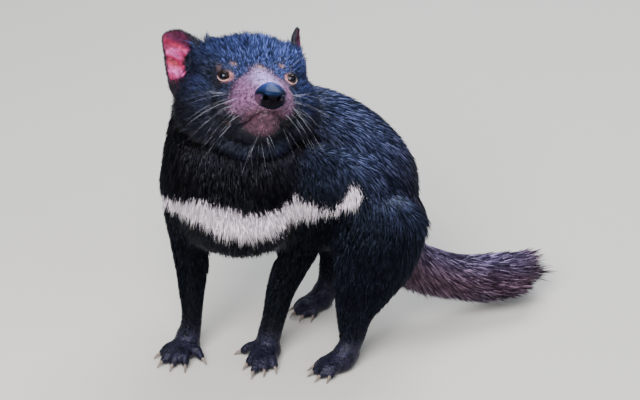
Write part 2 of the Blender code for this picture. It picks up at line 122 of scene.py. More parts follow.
LEG_RIGHT = [
    (-0.086, 0.202, 0.152, 0.040, 0.050),
    (-0.100, 0.188, 0.120, 0.033, 0.045),
    (-0.102, 0.172, 0.086, 0.022, 0.032),
    (-0.102, 0.162, 0.052, 0.0145, 0.0180),
    (-0.100, 0.157, 0.030, 0.0120, 0.0135),
    (-0.094, 0.150, 0.015, 0.0120, 0.0110),
]
# A ball of flesh is (x, y, z, radius along the side, along the back, upright, yaw of the side's line in
# degrees)
BODY_MASSES = [
    (-0.010, 0.138, 0.186, 0.034, 0.042, 0.050, 20),
    (-0.030, 0.014, 0.186, 0.030, 0.036, 0.048, 20),
    (-0.018, 0.172, 0.170, 0.050, 0.048, 0.058, 50),
    (0.002, 0.205, 0.138, 0.038, 0.050, 0.052, 80),
    (-0.086, 0.198, 0.138, 0.038, 0.048, 0.052, 80),
]
# In the head's frame, in millimetres: (left, forward, up, half width, half length, half height)
HEAD_MASSES = [
    (0, -52, 5, 63, 50, 45),
    (0, -22, -6, 44, 34, 27),
    (0, -40, -34, 64, 44, 38),
    (0, -64, -58, 56, 40, 38),
    (0, 26, -37, 19, 20, 13),
]
# The same, for a ball on each side
HEAD_PAIRS = [
    (42, -44, -30, 33, 38, 40),
    (25, -18, 6, 15, 18, 12),
    (26, -6, -28, 20, 26, 20),
    (22, 12, -28, 13, 18, 12),
]
# In the head's frame: (forward, up, half width, half height) down the muzzle and the lower jaw
MUZZLE = [
    (-26, -14, 42, 28),
    (0, -18, 37, 25),
    (22, -22, 33, 21.5),
    (38, -24, 28, 18),
    (47, -25, 17, 13),
]
JAW = [
    (-26, -46, 38, 22),
    (-4, -47, 29, 19),
    (14, -47, 20, 15),
    (28, -46, 14, 12.5),
]
# A paw: its heel's place, the yaw that it points to, each toe's (yaw from that line, reach from the heel)
# and the half width of its sole
PAWS = {
    "front_right": dict(
        heel=(0.002, 0.006),
        yaw=-12,
        toes=[(-50, 0.029), (-27, 0.037), (-8, 0.037), (12, 0.036), (48, 0.028)],
        pad=0.0165,
    ),
    "front_left": dict(
        heel=(0.010, 0.091),
        yaw=-10,
        toes=[(-78, 0.026), (-28, 0.032), (-8, 0.043), (6, 0.037), (24, 0.032)],
        pad=0.0160,
    ),
    "hind_left": dict(
        heel=(0.034, 0.170),
        yaw=-52,
        toes=[(-24, 0.029), (-8, 0.034), (9, 0.034), (25, 0.029)],
        pad=0.0160,
    ),
    "hind_right": dict(
        heel=(-0.092, 0.148),
        yaw=-42,
        toes=[(-24, 0.031), (-8, 0.036), (9, 0.036), (25, 0.031)],
        pad=0.0155,
    ),
}
# The two balls of a paw: how far before its heel, how high, and half its length and height, in metres. The
# first is as wide as the paw's pad
SOLE = (0.006, 0.009, 0.020, 0.011)
HEEL = (-0.004, 0.015, 0.016, 0.015)
HEEL_HALF_WIDTH = 0.013
# Where a toe's root and its knuckle lie, as shares of its reach
TOE_ROOT = 0.35
TOE_KNUCKLE = 0.72
# Toes and claws, in metres
TOE_RADIUS = 0.0056
KNUCKLE_HEIGHT = 0.0105
TOE_TIP_HEIGHT = 0.0052
CLAW_TIP_HEIGHT = 0.0012
CLAW_LENGTH = 0.0095
CLAW_RADIUS = 0.0022
# Eyes, nose and ears in the head's frame, in millimetres and degrees. EYE_PLACE is the middle of an eye's
# solid, and the eyeball lies EYE_INWARD nearer the middle line
EYE_PLACE = (34.5, -5, 0)
EYE_INWARD = 1.2
EYE_RADIUS = 7.1
EYE_GAZE = 27
NOSE_PLACE = (0, 50, -21.5)
NOSE_SIZE = (16, 10, 14)
EARS = {
    "ear_right": dict(root=(-60, -56, -6), height=(-0.24, -0.10, 1.0), width=(0.72, 0.69, 0.10)),
    "ear_left": dict(root=(55, -60, 2), height=(0.03, -0.10, 1.0), width=(-0.50, 0.86, 0.10)),
}
EAR_HEIGHT = 57
EAR_HALF_WIDTH = 28
EAR_CUP = 6
EAR_ROOT_DEPTH = 14

# How far along the body's left-right line the tail's flesh keeps its length, before its end is shortened
TAIL_FLESH = 0.350
# The share of its length that its end loses, because hair alone makes up the tail's tip
TAIL_SHORTENING = 0.6

# The making of the skin
SKIN_VOXEL = 0.0021
SMOOTH_ROUNDS = 120
BODY_THINNING = 0.325
LIE_ROUNDS = 55
SEED = 11
# How strongly the lie of the hair is unsettled, and by how many waves a metre
LIE_UNREST = 0.24
LIE_WAVES = 330.0
# How far the hair stands off the tail and off the crown, as a share of its length
TAIL_RISE = 0.08
CROWN_RISE = 0.16
# How much longer the tail's hair grows along it, in millimetres, and again at its end, as a share
TAIL_HAIR = 11.0
TAIL_TIP_HAIR = 0.80
HEAD_TURN = (
    Matrix.Rotation(HEAD_YAW, 3, "Z")
    @ Matrix.Rotation(-HEAD_PITCH, 3, "Y")
    @ Matrix.Rotation(HEAD_ROLL, 3, "X")
)


def anatomy_head(left, forward, up):
    """A point given in millimetres in the head's frame, in the anatomy's frame."""
    return HEAD_PLACE + HEAD_TURN @ Vector((forward, left, up)) * MM


def shift_to_solids():
    """The step from the anatomy's frame to the solids': the right eye's middle is in both."""
    low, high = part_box("eye_right")
    left, forward, up = EYE_PLACE
    return (Vector(low) + Vector(high)) / 2 - anatomy_head(-left, forward, up)


SHIFT = shift_to_solids()


def in_head(left, forward, up):
    """A point given in millimetres in the head's frame, in the solids' frame."""
    return anatomy_head(left, forward, up) + SHIFT


def to_head(points):
    """Rows of points as (left, forward, up) millimetres in the head's frame."""
    turn = np.array(HEAD_TURN)
    local = (points - np.array(HEAD_PLACE + SHIFT)) @ turn / MM
    return local[:, [1, 0, 2]]


def ramp(values, low, high):
    """0 below low, 1 above high and smooth between, for arrays and numbers."""
    t = np.clip((np.asarray(values, float) - low) / (high - low), 0, 1)
    return t * t * (3 - 2 * t)


def spline(rows, steps):
    """Rows of numbers with steps between each two, on a Catmull-Rom line through them."""
    rows = [list(row) for row in rows]
    before = [2 * a - b for a, b in zip(rows[0], rows[1])]
    after = [2 * a - b for a, b in zip(rows[-1], rows[-2])]
    knots = [before] + rows + [after]
    line = []
    for i in range(len(rows) - 1):
        p0, p1, p2, p3 = knots[i : i + 4]
        for k in range(steps):
            t = k / steps
            line.append(
                [
                    b + 0.5 * t * (c - a + t * (2 * a - 5 * b + 4 * c - d + t * (3 * (b - c) + d - a)))
                    for a, b, c, d in zip(p0, p1, p2, p3)
                ]
            )
    return line + [rows[-1]]


def add_sweep(mesh, rows, side=None, sides=24, steps=6, caps=4):
    """A closed tube through sections of (x, y, z, half width, half depth), with rounded ends. Its width
    runs along side, or level where no side is given."""
    line = spline(rows, steps)
    centres = [Vector(row[:3]) for row in line]
    rings = []
    for i, row in enumerate(line):
        along = (centres[min(i + 1, len(line) - 1)] - centres[max(i - 1, 0)]).normalized()
        across = Vector(side) if side else along.cross(Vector((0, 0, 1)))
        across = (across - along * across.dot(along)).normalized()
        rings.append((centres[i], along, across, across.cross(along), row[3], row[4]))
    stations = []
    for end, sign in ((rings[0], -1), (rings[-1], 1)):
        centre, along, across, up, width, depth = end
        dome = []
        for k in range(1, caps + 1):
            angle = math.pi / 2 * k / caps
            reach = 0.8 * min(width, depth) * math.sin(angle) * sign
            shrink = math.cos(angle)
            dome.append((centre + along * reach, along, across, up, width * shrink, depth * shrink))
        stations.append(dome)
    rings = stations[0][:-1][::-1] + rings + stations[1][:-1]
    poles = [mesh.verts.new(stations[0][-1][0]), mesh.verts.new(stations[1][-1][0])]
    loops = []
    turns = [2 * math.pi * j / sides for j in range(sides)]
    for centre, _, across, up, width, depth in rings:
        places = [centre + across * width * math.cos(a) + up * depth * math.sin(a) for a in turns]
        loops.append([mesh.verts.new(place) for place in places])
    for a, b in zip(loops, loops[1:]):
        for j in range(sides):
            k = (j + 1) % sides
            mesh.faces.new((a[j], a[k], b[k], b[j]))
    for j in range(sides):
        k = (j + 1) % sides
        mesh.faces.new((poles[0], loops[0][k], loops[0][j]))
        mesh.faces.new((poles[1], loops[-1][j], loops[-1][k]))


def add_ball(mesh, centre, radii, turn=None, rings=12, sides=24):
    """An ellipsoid: radii along the three columns of turn."""
    place = Matrix.Translation(Vector(centre))
    if turn is not None:
        place = place @ turn.to_4x4()
    place = place @ Matrix.Diagonal((*radii, 1))
    bmesh.ops.create_uvsphere(mesh, u_segments=sides, v_segments=rings, radius=1, matrix=place)


def add_head_ball(mesh, left, forward, up, half_width, half_length, half_height):
    """An ellipsoid in the head's frame, in millimetres."""
    radii = (half_length * MM, half_width * MM, half_height * MM)
    add_ball(mesh, anatomy_head(left, forward, up), radii, HEAD_TURN)


def toe_line(paw, toe):
    """A toe's root, knuckle, tip and the level direction that it points in."""
    yaw, reach = toe
    angle = math.radians(paw["yaw"] + yaw)
    out = Vector((math.cos(angle), math.sin(angle), 0))
    heel = Vector((*paw["heel"], 0))
    root = heel + out * TOE_ROOT * reach + Vector((0, 0, KNUCKLE_HEIGHT))
    knuckle = heel + out * TOE_KNUCKLE * reach + Vector((0, 0, KNUCKLE_HEIGHT))
    tip = heel + out * reach + Vector((0, 0, TOE_TIP_HEIGHT))
    return root, knuckle, tip, out


def add_paw(mesh, paw):
    """A paw's two balls and its toes."""
    heel = Vector((*paw["heel"], 0))
    angle = math.radians(paw["yaw"])
    turn = Matrix.Rotation(angle, 3, "Z")
    out = turn @ Vector((1, 0, 0))
    for (ahead, rise, half_length, half_height), half_width in ((SOLE, paw["pad"]), (HEEL, HEEL_HALF_WIDTH)):
        place = heel + out * ahead + Vector((0, 0, rise))
        add_ball(mesh, place, (half_length, half_width, half_height), turn)
    for toe in paw["toes"]:
        root, knuckle, tip, _ = toe_line(paw, toe)
        rows = [
            (*root, TOE_RADIUS * 1.1, TOE_RADIUS * 1.1),
            (*knuckle, TOE_RADIUS, TOE_RADIUS * 1.05),
            (*tip, TOE_RADIUS * 0.82, TOE_RADIUS * 0.82),
        ]
        add_sweep(mesh, rows, sides=12, steps=3)


def body_masses(mesh):
    """All the tubes and balls that the skin is fused from, in the anatomy's frame."""
    add_sweep(mesh, TRUNK)
    add_sweep(mesh, NECK, side=(-0.3, 1, 0))
    add_sweep(mesh, TAIL)
    add_sweep(mesh, ARM_RIGHT, side=(0.3, 1, 0))
    add_sweep(mesh, ARM_LEFT, side=(0.3, 1, 0))
    add_sweep(mesh, LEG_LEFT, side=(1, 0.3, 0))
    add_sweep(mesh, LEG_RIGHT, side=(1, 0.3, 0))
    for x, y, z, across, along, up, yaw in BODY_MASSES:
        turn = Matrix.Rotation(math.radians(yaw - 90), 3, "Z")
        add_ball(mesh, (x, y, z), (along, across, up), turn)
    for mass in HEAD_MASSES:
        add_head_ball(mesh, *mass)
    for left, *rest in HEAD_PAIRS:
        for sign in (1, -1):
            add_head_ball(mesh, sign * left, *rest)
    level = HEAD_TURN @ Vector((0, 1, 0))
    for line in (MUZZLE, JAW):
        add_sweep(mesh, [(*anatomy_head(0, f, u), w * MM, h * MM) for f, u, w, h in line], side=level)
    for paw in PAWS.values():
        add_paw(mesh, paw)


def softness(point):
    """How far the joins at a point are rounded: wholly on the trunk, hardly on face and paws."""
    forward = (HEAD_TURN.transposed() @ (point - HEAD_PLACE)).x / MM
    away = (point - HEAD_PLACE).length / MM
    if away < 120 and point.z > 0.22:
        return 0.12 + 0.5 * min(max((-40 - forward) / 50, 0), 1)
    if point.y > 0.25:
        return 0.25
    return 0.06 + 0.94 * min(max((point.z - 0.075) / 0.06, 0), 1)


def new_object(name, mesh):
    """An object in the scene, from a bmesh or from points and faces."""
    data = bpy.data.meshes.new(name)
    if isinstance(mesh, bmesh.types.BMesh):
        mesh.to_mesh(data)
        mesh.free()
    else:
        points, faces = mesh
        data.from_pydata([tuple(point) for point in points], [], faces)
    obj = bpy.data.objects.new(name, data)
    bpy.context.scene.collection.objects.link(obj)
    return obj


def made_plain(obj):
    """Puts an object's modifiers into its mesh."""
    bpy.context.view_layer.update()
    graph = bpy.context.evaluated_depsgraph_get()
    data = bpy.data.meshes.new_from_object(obj.evaluated_get(graph))
    obj.modifiers.clear()
    old = obj.data
    obj.data = data
    bpy.data.meshes.remove(old)
    return obj


def rows_of_three(items, key):
    found = np.empty(len(items) * 3, np.float32)
    items.foreach_get(key, found)
    return found.reshape(-1, 3).astype(float)


def coordinates(obj):
    return rows_of_three(obj.data.vertices, "co")


def normals(obj):
    return rows_of_three(obj.data.vertex_normals, "vector")


def set_coordinates(obj, points):
    obj.data.vertices.foreach_set("co", np.ascontiguousarray(points, np.float32).ravel())
    obj.data.update()


def edges_of(obj):
    ends = np.empty(len(obj.data.edges) * 2, np.int32)
    obj.data.edges.foreach_get("vertices", ends)
    return ends.reshape(-1, 2)


def spread(values, ends, rounds):
    """Evens out values over the mesh: each point takes the mean of itself and its neighbours."""
    values = np.array(values, float)
    flat = values.reshape(len(values), -1)
    count = np.bincount(ends.ravel(), minlength=len(flat))[:, None] + 1.0
    for _ in range(rounds):
        total = flat.copy()
        for column in range(flat.shape[1]):
            total[:, column] += np.bincount(ends[:, 0], flat[ends[:, 1], column], len(flat))
            total[:, column] += np.bincount(ends[:, 1], flat[ends[:, 0], column], len(flat))
        flat = total / count
    return flat.reshape(values.shape)


def opaque(colours):
    return np.hstack([colours, np.ones((len(colours), 1))])


def add_attributes(obj, **named):
    """Gives each point of a mesh its named numbers, directions or colours."""
    kinds = {1: ("FLOAT", "value"), 3: ("FLOAT_VECTOR", "vector"), 4: ("FLOAT_COLOR", "color")}
    for name, values in named.items():
        kind, key = kinds[np.size(values) // len(obj.data.vertices)]
        attribute = obj.data.attributes.new(name, kind, "POINT")
        attribute.data.foreach_set(key, np.ascontiguousarray(values, np.float32).ravel())


def number_faces(obj, numbers):
    """Gives each face the number of the coat piece that grows on it."""
    attribute = obj.data.attributes.new("part", "INT", "FACE")
    attribute.data.foreach_set("value", np.ascontiguousarray(numbers, np.int32))


# Line, coat depth at its start and end in millimetres, and tuft length for each millimetre of depth
COAT_LINES = {
    "trunk": (TRUNK, 10.5, 11.5, 1.9),
    "neck": (NECK, 10.0, 11.0, 1.9),
    "tail": (TAIL, 11.0, 3.0, 2.5),
    "arm_right": (ARM_RIGHT, 9.0, 0.5, 1.9),
    "arm_left": (ARM_LEFT, 9.0, 0.5, 1.9),
    "leg_left": (LEG_LEFT, 10.0, 0.5, 1.9),
    "leg_right": (LEG_RIGHT, 10.0, 0.5, 1.9),
}
LIMBS = ["arm_right", "arm_left", "leg_left", "leg_right"]
REGIONS = ["trunk", "neck", "tail", *LIMBS, "head"]
# The lists that follow have a value for each region. Tufts on each square millimetre
COAT_THICKNESS = [0.54, 0.58, 0.95, 0.56, 0.56, 0.53, 0.53, 1.30]
# Half a tuft's width, in millimetres
TUFT_HALF_WIDTHS = [0.42, 0.42, 0.36, 0.35, 0.35, 0.39, 0.39, 0.20]
# How much of the coat's depth lies between the skin and the solids' surface
SKIN_INSETS = [0.85, 1.0, 1.0, 0.80, 0.60, 0.72, 0.72, 0.45]
# How dull the hair is
DULLNESS = [0.0, 0.75, 0.0, 0.45, 0.45, 0.35, 0.35, 0.0]
# How much of the body's painted sky sheen the coat takes up
PAINTED_SHEEN_SHARES = [1.0, 0.45, 0, 0.2, 0.2, 0.2, 0.2, 0]
# The coat's colour; the neck's darker, warmer one is painted shade under the head
COAT_COLOURS = [
    (0.0090, 0.0088, 0.0155),
    (0.0068, 0.0044, 0.0046),
    (0.1500, 0.0620, 0.0850),
    (0.0030, 0.0042, 0.0086),
    (0.0030, 0.0042, 0.0086),
    (0.0056, 0.0070, 0.0165),
    (0.0056, 0.0070, 0.0165),
    (0.0140, 0.0140, 0.0250),
]
# Painted sheen: the painted reflection of the sky that the coat's colour gains where it faces upwards, on the
# body and on the head
BODY_PAINTED_SHEEN = (0.021, 0.032, 0.102)
HEAD_PAINTED_SHEEN = (0.027, 0.050, 0.200)
# What it gains on the trunk where it faces the tail
WARMTH = (0.0085, 0.0040, 0.0060)
# The tail's coat: its own rust at its sides and end, a painted slate sheen on top towards the root, and
# painted shade below
TAIL_COLOURS = ((0.225, 0.104, 0.160), (0.090, 0.080, 0.205), (0.038, 0.026, 0.062))
# The bare skin's colours
PAW_COLOUR = (0.010, 0.010, 0.024)
MUZZLE_COLOUR = (0.155, 0.066, 0.150)
BRIDGE_COLOUR = (0.44, 0.32, 0.76)
LIP_COLOUR = (0.042, 0.014, 0.023)
LID_COLOUR = (0.36, 0.15, 0.16)
SPOT_COLOUR = (0.24, 0.13, 0.12)
# The muzzle's bare zone: how far back it reaches, by the angle round the muzzle from its top, in degrees
BARE_ANGLES = (0, 18, 35, 50, 65, 80, 95, 107, 124, 140, 155, 180)
BARE_BACKS = (2, 9, 15, 16, 17, 18, 19, 19.5, 17, 18, 22, 27)
# The spots on both sides that carry the brow's and the cheek's long hairs: place, radius and bareness
BARE_SPOTS = [
    ((24, -4, 13), 5.5, 0.85),
    ((38, -12, 10), 6.0, 0.45),
    ((30, 0, -47), 6.0, 0.75),
]
# The chest's white band, in metres in the anatomy's frame: a place along the body's left-right line, and the
# heights of the band's lower and upper edge there
BAND_EDGES = [
    (-0.0300, 0.1730, 0.1740),
    (-0.0144, 0.1705, 0.1838),
    (0.0100, 0.1800, 0.2035),
    (0.0300, 0.1800, 0.2080),
    (0.0460, 0.1710, 0.2050),
    (0.0680, 0.1650, 0.1970),
    (0.0965, 0.1710, 0.1955),
    (0.1085, 0.1790, 0.2020),
    (0.1205, 0.1810, 0.2060),
    (0.1325, 0.1815, 0.2015),
    (0.1435, 0.1840, 0.1930),
    (0.1545, 0.1860, 0.1900),
    (0.1645, 0.1850, 0.1930),
    (0.1715, 0.1860, 0.2040),
    (0.1785, 0.1900, 0.2080),
    (0.1865, 0.1990, 0.1990),
]
# Where the band ends along that line, and how far forward the coat must be to carry it, by the same places
BAND_ENDS = (-0.024, 0.1845)
BAND_FRONT = [(-0.03, -0.030), (0.02, -0.020), (0.10, -0.010), (0.16, -0.004), (0.20, -0.008)]
# The head's region is a ball of these half sizes round this middle, above a lowest height, in its own frame
HEAD_MIDDLE = (0, -30, -14)
HEAD_HALF_SIZES = (66, 84, 60)
HEAD_LOWEST = -75
# Below this height, and before this place along the body, a point belongs to the limb of the nearest foot
FOOT_HEIGHT = 0.055
FOOT_END = 0.24
# How far behind its heel the hair of a paw fans out from
PAW_FAN = 0.012
# The coat's depth and its tufts' length on the paws, in millimetres
PAW_DEPTH = 0.5
PAW_REACH = 2.2
# On the head: tuft length for each millimetre of depth, and what the tall hair beside the ears adds to it
HEAD_TUFTS = 1.9
TALL_HAIR = 19.0
# How far the lie of the hair droops on trunk and neck, and besides towards the rump
BODY_DROOP = 0.75
RUMP_DROOP = 1.3


def blended(first, second, weight):
    """Rows that go from the first to the second value as their weight goes from 0 to 1."""
    share = weight[:, None]
    return np.array(first) * (1 - share) + np.array(second) * share


def within(region, *names):
    """Whether each point lies in one of the named regions."""
    return np.isin(region, [REGIONS.index(name) for name in names])


def nearest_on_line(points, name):
    """For each point: how far it is from a region's line, in radii, the line's direction there, the depth of
    the coat there, and how far along the line it is, from 0 to 1."""
    rows, start, end, _ = COAT_LINES[name]
    line = np.array(spline(rows, 8))
    centres = line[:, :3] + np.array(SHIFT)
    radii = (line[:, 3] + line[:, 4]) / 2
    ways = np.gradient(centres, axis=0)
    ways /= np.linalg.norm(ways, axis=1)[:, None]
    best = np.full(len(points), 1e9)
    which = np.zeros(len(points), int)
    for i, (centre, radius) in enumerate(zip(centres, radii)):
        away = np.linalg.norm(points - centre, axis=1) / max(radius, 0.010)
        closer = away < best
        best[closer] = away[closer]
        which[closer] = i
    part = which / (len(line) - 1)
    return best, ways[which], start + (end - start) * part, part


def ear_nearness(local):
    """1 at the root of an ear, falling to 0 some way off."""
    away = [np.linalg.norm(local - np.array(ear["root"]), axis=1) for ear in EARS.values()]
    return 1 - ramp(np.minimum(*away), 14, 34)


# Where the hair stands tall beside each ear, on the crown's side, in the head's frame
EAR_TUFTS = ((-45, -50, 32), (43, -54, 36))
# Where the lie of the head's hair comes from, and the middle of the short hair round each eye
LIE_SOURCE = (0, 62, -30)
SHORT_HAIR = (34.5, -4, 0)


def tuft_nearness(local):
    """1 in the tall hair between the crown and an ear, falling to 0 some way off."""
    away = [np.linalg.norm(local - np.array(place), axis=1) for place in EAR_TUFTS]
    return (1 - ramp(np.minimum(*away), 9, 29)) * (1 - ramp(np.abs(local[:, 0]), 50, 60))


def off_spot(local, spot):
    """How far points of the head are from a spot, which is given for the left side and stands for both."""
    left, forward, up = local.T
    x, y, z = spot
    return np.sqrt((np.abs(left) - x) ** 2 + (forward - y) ** 2 + (up - z) ** 2)


def head_fields(local):
    """The lie and depth of the hair on the head, from points in its frame. It runs back from the nose."""
    _, forward, up = local.T
    lie = local - np.array(LIE_SOURCE)
    lie /= np.linalg.norm(lie, axis=1)[:, None]
    for ear in EARS.values():
        away = np.linalg.norm(local - np.array(ear["root"]) - np.array([0, 4, 4]), axis=1)
        lie = blended(lie, [0.15 * np.sign(ear["root"][0]), -0.1, 1.0], 1 - ramp(away, 10, 32))
    lie = blended(lie, [0.0, -0.3, 1.0], tuft_nearness(local))
    depth = 2.0 + 5.0 * ramp(-forward, -8, 30) + 3.5 * ramp(-up, 10, 50) * ramp(-forward, -12, 25)
    depth = 0.6 + (depth - 0.6) * ramp(off_spot(local, SHORT_HAIR), 9, 20)
    depth *= 1 - 0.7 * ramp(forward, 0, 18)
    depth += 2.0 * ear_nearness(local)
    return np.stack([lie[:, 1], lie[:, 0], lie[:, 2]], 1) @ np.array(HEAD_TURN).T, depth


def ripple(points, scale):
    """An even unrest between about -1 and 1, with waves of a few units' length divided by scale."""
    x, y, z = points.T * scale
    first = np.sin(1.1 * x + 2.3 * np.sin(0.7 * y)) * np.cos(0.9 * z + 1.7 * np.sin(0.5 * x))
    return 0.6 * first + 0.4 * np.sin(2.3 * y + 1.3 * np.cos(1.9 * z) + 0.8 * x)


def unrest(points, scale):
    """Rows of an even unrest, one for each axis."""
    return np.stack([ripple(points + step, scale) for step in (0.0, 0.37, 0.81)], 1)


def bare_face(local):
    """How bare the face is: 1 on muzzle and chin, less on the spots with long hairs, 0 in the coat."""
    left, forward, up = local.T
    angle = np.degrees(np.arctan2(np.abs(left), up + 25))
    edge = forward - np.interp(angle, BARE_ANGLES, BARE_BACKS) + 2.4 * ripple(local, 0.9)
    bare = ramp(edge, -9, 4)
    for spot, radius, weight in BARE_SPOTS:
        bare = np.maximum(bare, weight * (1 - ramp(off_spot(local, spot), 0.4 * radius, radius)))
    return bare


def make_skin():
    """The whole animal out to the coat's tips as one closed mesh, with its joins rounded."""
    mesh = bmesh.new()
    body_masses(mesh)
    bmesh.ops.recalc_face_normals(mesh, faces=mesh.faces)
    skin = new_object("skin", mesh)
    remesh = skin.modifiers.new("fuse", "REMESH")
    remesh.mode = "VOXEL"
    remesh.voxel_size = SKIN_VOXEL
    made_plain(skin)
    soft = skin.vertex_groups.new(name="soft")
    for vert in skin.data.vertices:
        soft.add([vert.index], softness(vert.co), "REPLACE")
    smooth = skin.modifiers.new("smooth", "SMOOTH")
    smooth.factor = 0.5
    smooth.iterations = SMOOTH_ROUNDS
    smooth.vertex_group = "soft"
    made_plain(skin)
    skin.vertex_groups.clear()
    skin.data.transform(Matrix.Translation(SHIFT))
    return skin


def fields(points):
    """The region, lie, coat depth and tuft length of each point of the skin, and how far along its region's
    line it is."""
    best = np.full(len(points), 1e9)
    lie = np.zeros((len(points), 3))
    depth = np.zeros(len(points))
    reach = np.zeros(len(points))
    region = np.zeros(len(points), int)
    part = np.zeros(len(points))

    def take(chosen, name, ways, deep, along):
        lie[chosen] = ways[chosen]
        depth[chosen] = deep[chosen]
        reach[chosen] = deep[chosen] * COAT_LINES[name][3]
        region[chosen] = REGIONS.index(name)
        part[chosen] = along[chosen]

    for name in COAT_LINES:
        away, *found = nearest_on_line(points, name)
        closer = away < best
        best[closer] = away[closer]
        take(closer, name, *found)
    low_down = (points[:, 2] < FOOT_HEIGHT) & (points[:, 1] - SHIFT.y < FOOT_END)
    nearest = np.full(len(points), 1e9)
    for name in LIMBS:
        foot = np.array(COAT_LINES[name][0][-1][:3]) + np.array(SHIFT)
        distance = np.linalg.norm((points - foot)[:, :2], axis=1)
        closer = low_down & (distance < nearest)
        nearest[closer] = distance[closer]
        take(closer, name, *nearest_on_line(points, name)[1:])
    local = to_head(points)
    head_lie, head_depth = head_fields(local)
    away = np.linalg.norm((local - np.array(HEAD_MIDDLE)) / np.array(HEAD_HALF_SIZES), axis=1)
    closer = ((away < 1.0) | (away < best)) & (local[:, 2] > HEAD_LOWEST)
    lie[closer] = head_lie[closer]
    depth[closer] = head_depth[closer]
    reach[closer] = (head_depth * HEAD_TUFTS + TALL_HAIR * tuft_nearness(local))[closer]
    region[closer] = REGIONS.index("head")
    low = ramp(points[:, 2], 0.026, 0.060)
    limb = within(region, *LIMBS)
    depth[limb] = PAW_DEPTH + (depth[limb] - PAW_DEPTH) * low[limb]
    reach[limb] = PAW_REACH + (reach[limb] - PAW_REACH) * low[limb]
    lie[within(region, "trunk", "neck")] += np.array([0, 0, -BODY_DROOP])
    lie[:, 2] -= np.where(within(region, "trunk"), RUMP_DROOP * ramp(part, 0.6, 0.92), 0)
    lie = blended(lie, paw_lie(points), 1 - ramp(points[:, 2], 0.016, 0.040))
    return region, lie, depth, reach, part


def paw_lie(points):
    """The level direction away from the heel of the nearest paw."""
    best = np.full(len(points), 1e9)
    lie = np.zeros((len(points), 3))
    for paw in PAWS.values():
        angle = math.radians(paw["yaw"])
        out = np.array([math.cos(angle), math.sin(angle), 0])
        back = np.array([*paw["heel"], 0]) + np.array(SHIFT) - PAW_FAN * out
        away = (points - back) * np.array([1, 1, 0])
        distance = np.linalg.norm(away, axis=1)
        closer = distance < best
        best[closer] = distance[closer]
        lie[closer] = away[closer] / np.maximum(distance[closer], 1e-6)[:, None]
    return lie


def head_mask(points):
    """1 on the face and the skull, 0 behind."""
    local = to_head(points)
    return ramp(local[:, 1], -75, -55) * ramp(local[:, 2], -82, -70)


def face_mask(points):
    """1 on the face, where the skin shows, 0 behind it."""
    local = to_head(points)
    return ramp(local[:, 1], -32, -24) * ramp(local[:, 2], -76, -68)


def paw_mask(points):
    """1 on the paws, 0 above them."""
    return 1 - ramp(points[:, 2], 0.030, 0.040)


def fine_mask(points):
    """1 round the eyes and on the lips, where the folds are finest."""
    local = to_head(points)
    left, forward, up = local.T
    fine = np.zeros(len(points))
    for sign in (1, -1):
        away = np.linalg.norm(local - eye_axes(sign)[0], axis=1)
        fine = np.maximum(fine, away < 13)
    rise = up - np.interp(forward, MOUTH_FORWARD, MOUTH_UP)
    mouth = (np.abs(left) < 32) & (forward > 2) & (np.abs(rise) < 6)
    return np.maximum(fine, mouth)


def refine(skin, chosen):
    """Splits each face whose corners are all chosen into four."""
    mesh = bmesh.new()
    mesh.from_mesh(skin.data)
    mesh.verts.ensure_lookup_table()
    edges = [edge for edge in mesh.edges if chosen[edge.verts[0].index] and chosen[edge.verts[1].index]]
    bmesh.ops.subdivide_edges(mesh, edges=edges, cuts=1, use_grid_fill=True, smooth=0)
    mesh.to_mesh(skin.data)
    mesh.free()


def thin_body(skin, keep):
    """Thins the faces of the body, where the coat hides them, and leaves those of face and paws."""
    group = skin.vertex_groups.new(name="thin")
    for index in np.flatnonzero(keep < 0.5):
        group.add([int(index)], 1.0, "REPLACE")
    thin = skin.modifiers.new("thin", "DECIMATE")
    thin.ratio = BODY_THINNING
    thin.vertex_group = "thin"
    thin.vertex_group_factor = 10
    made_plain(skin)
    skin.vertex_groups.clear()


# How unlike the faces of one island may look, and the gap between islands
ISLAND_ANGLE = math.radians(60)
ISLAND_GAP = 0.004


def unwrap(obj):
    """Lays an object's own faces out flat, as islands of faces that look the same way."""
    for other in bpy.context.selected_objects:
        other.select_set(False)
    bpy.context.view_layer.objects.active = obj
    obj.select_set(True)
    bpy.ops.object.mode_set(mode="EDIT")
    bpy.ops.mesh.select_all(action="SELECT")
    bpy.ops.uv.smart_project(angle_limit=ISLAND_ANGLE, island_margin=ISLAND_GAP)
    bpy.ops.object.mode_set(mode="OBJECT")
    obj.data.uv_layers[0].name = "skin_uv"


# The line of the mouth: its height by how far forward it is, in the head's frame
MOUTH_FORWARD = (-8, 0, 16, 31, 43.5, 47.5)
MOUTH_UP = (-53, -51, -47, -42.5, -39, -37.5)
# How far an eye looks up and its lids' line drops towards the nose, in degrees
EYE_LIFT = 3
EYE_TILT = 12
LID_THICKNESS = 0.9
# Half sizes of the lids' opening: towards the nose, away from it, upwards and downwards
OPENING = (6.5, 6.1, 4.9, 4.6)
# What stands out of the face on each side: its place in the head's frame, its radius and height. The whisker
# pad, the brow, the chin, the cheek, and the hollow before the eye
HUMPS = [
    ((22, 30, -30), 9, 1.2),
    ((28, -6, 11), 7, 1.4),
    ((0, 30, -52), 9, 0.8),
    ((37, -2, -14), 8, 0.9),
    ((27, 12, -14), 7, -1.2),
]


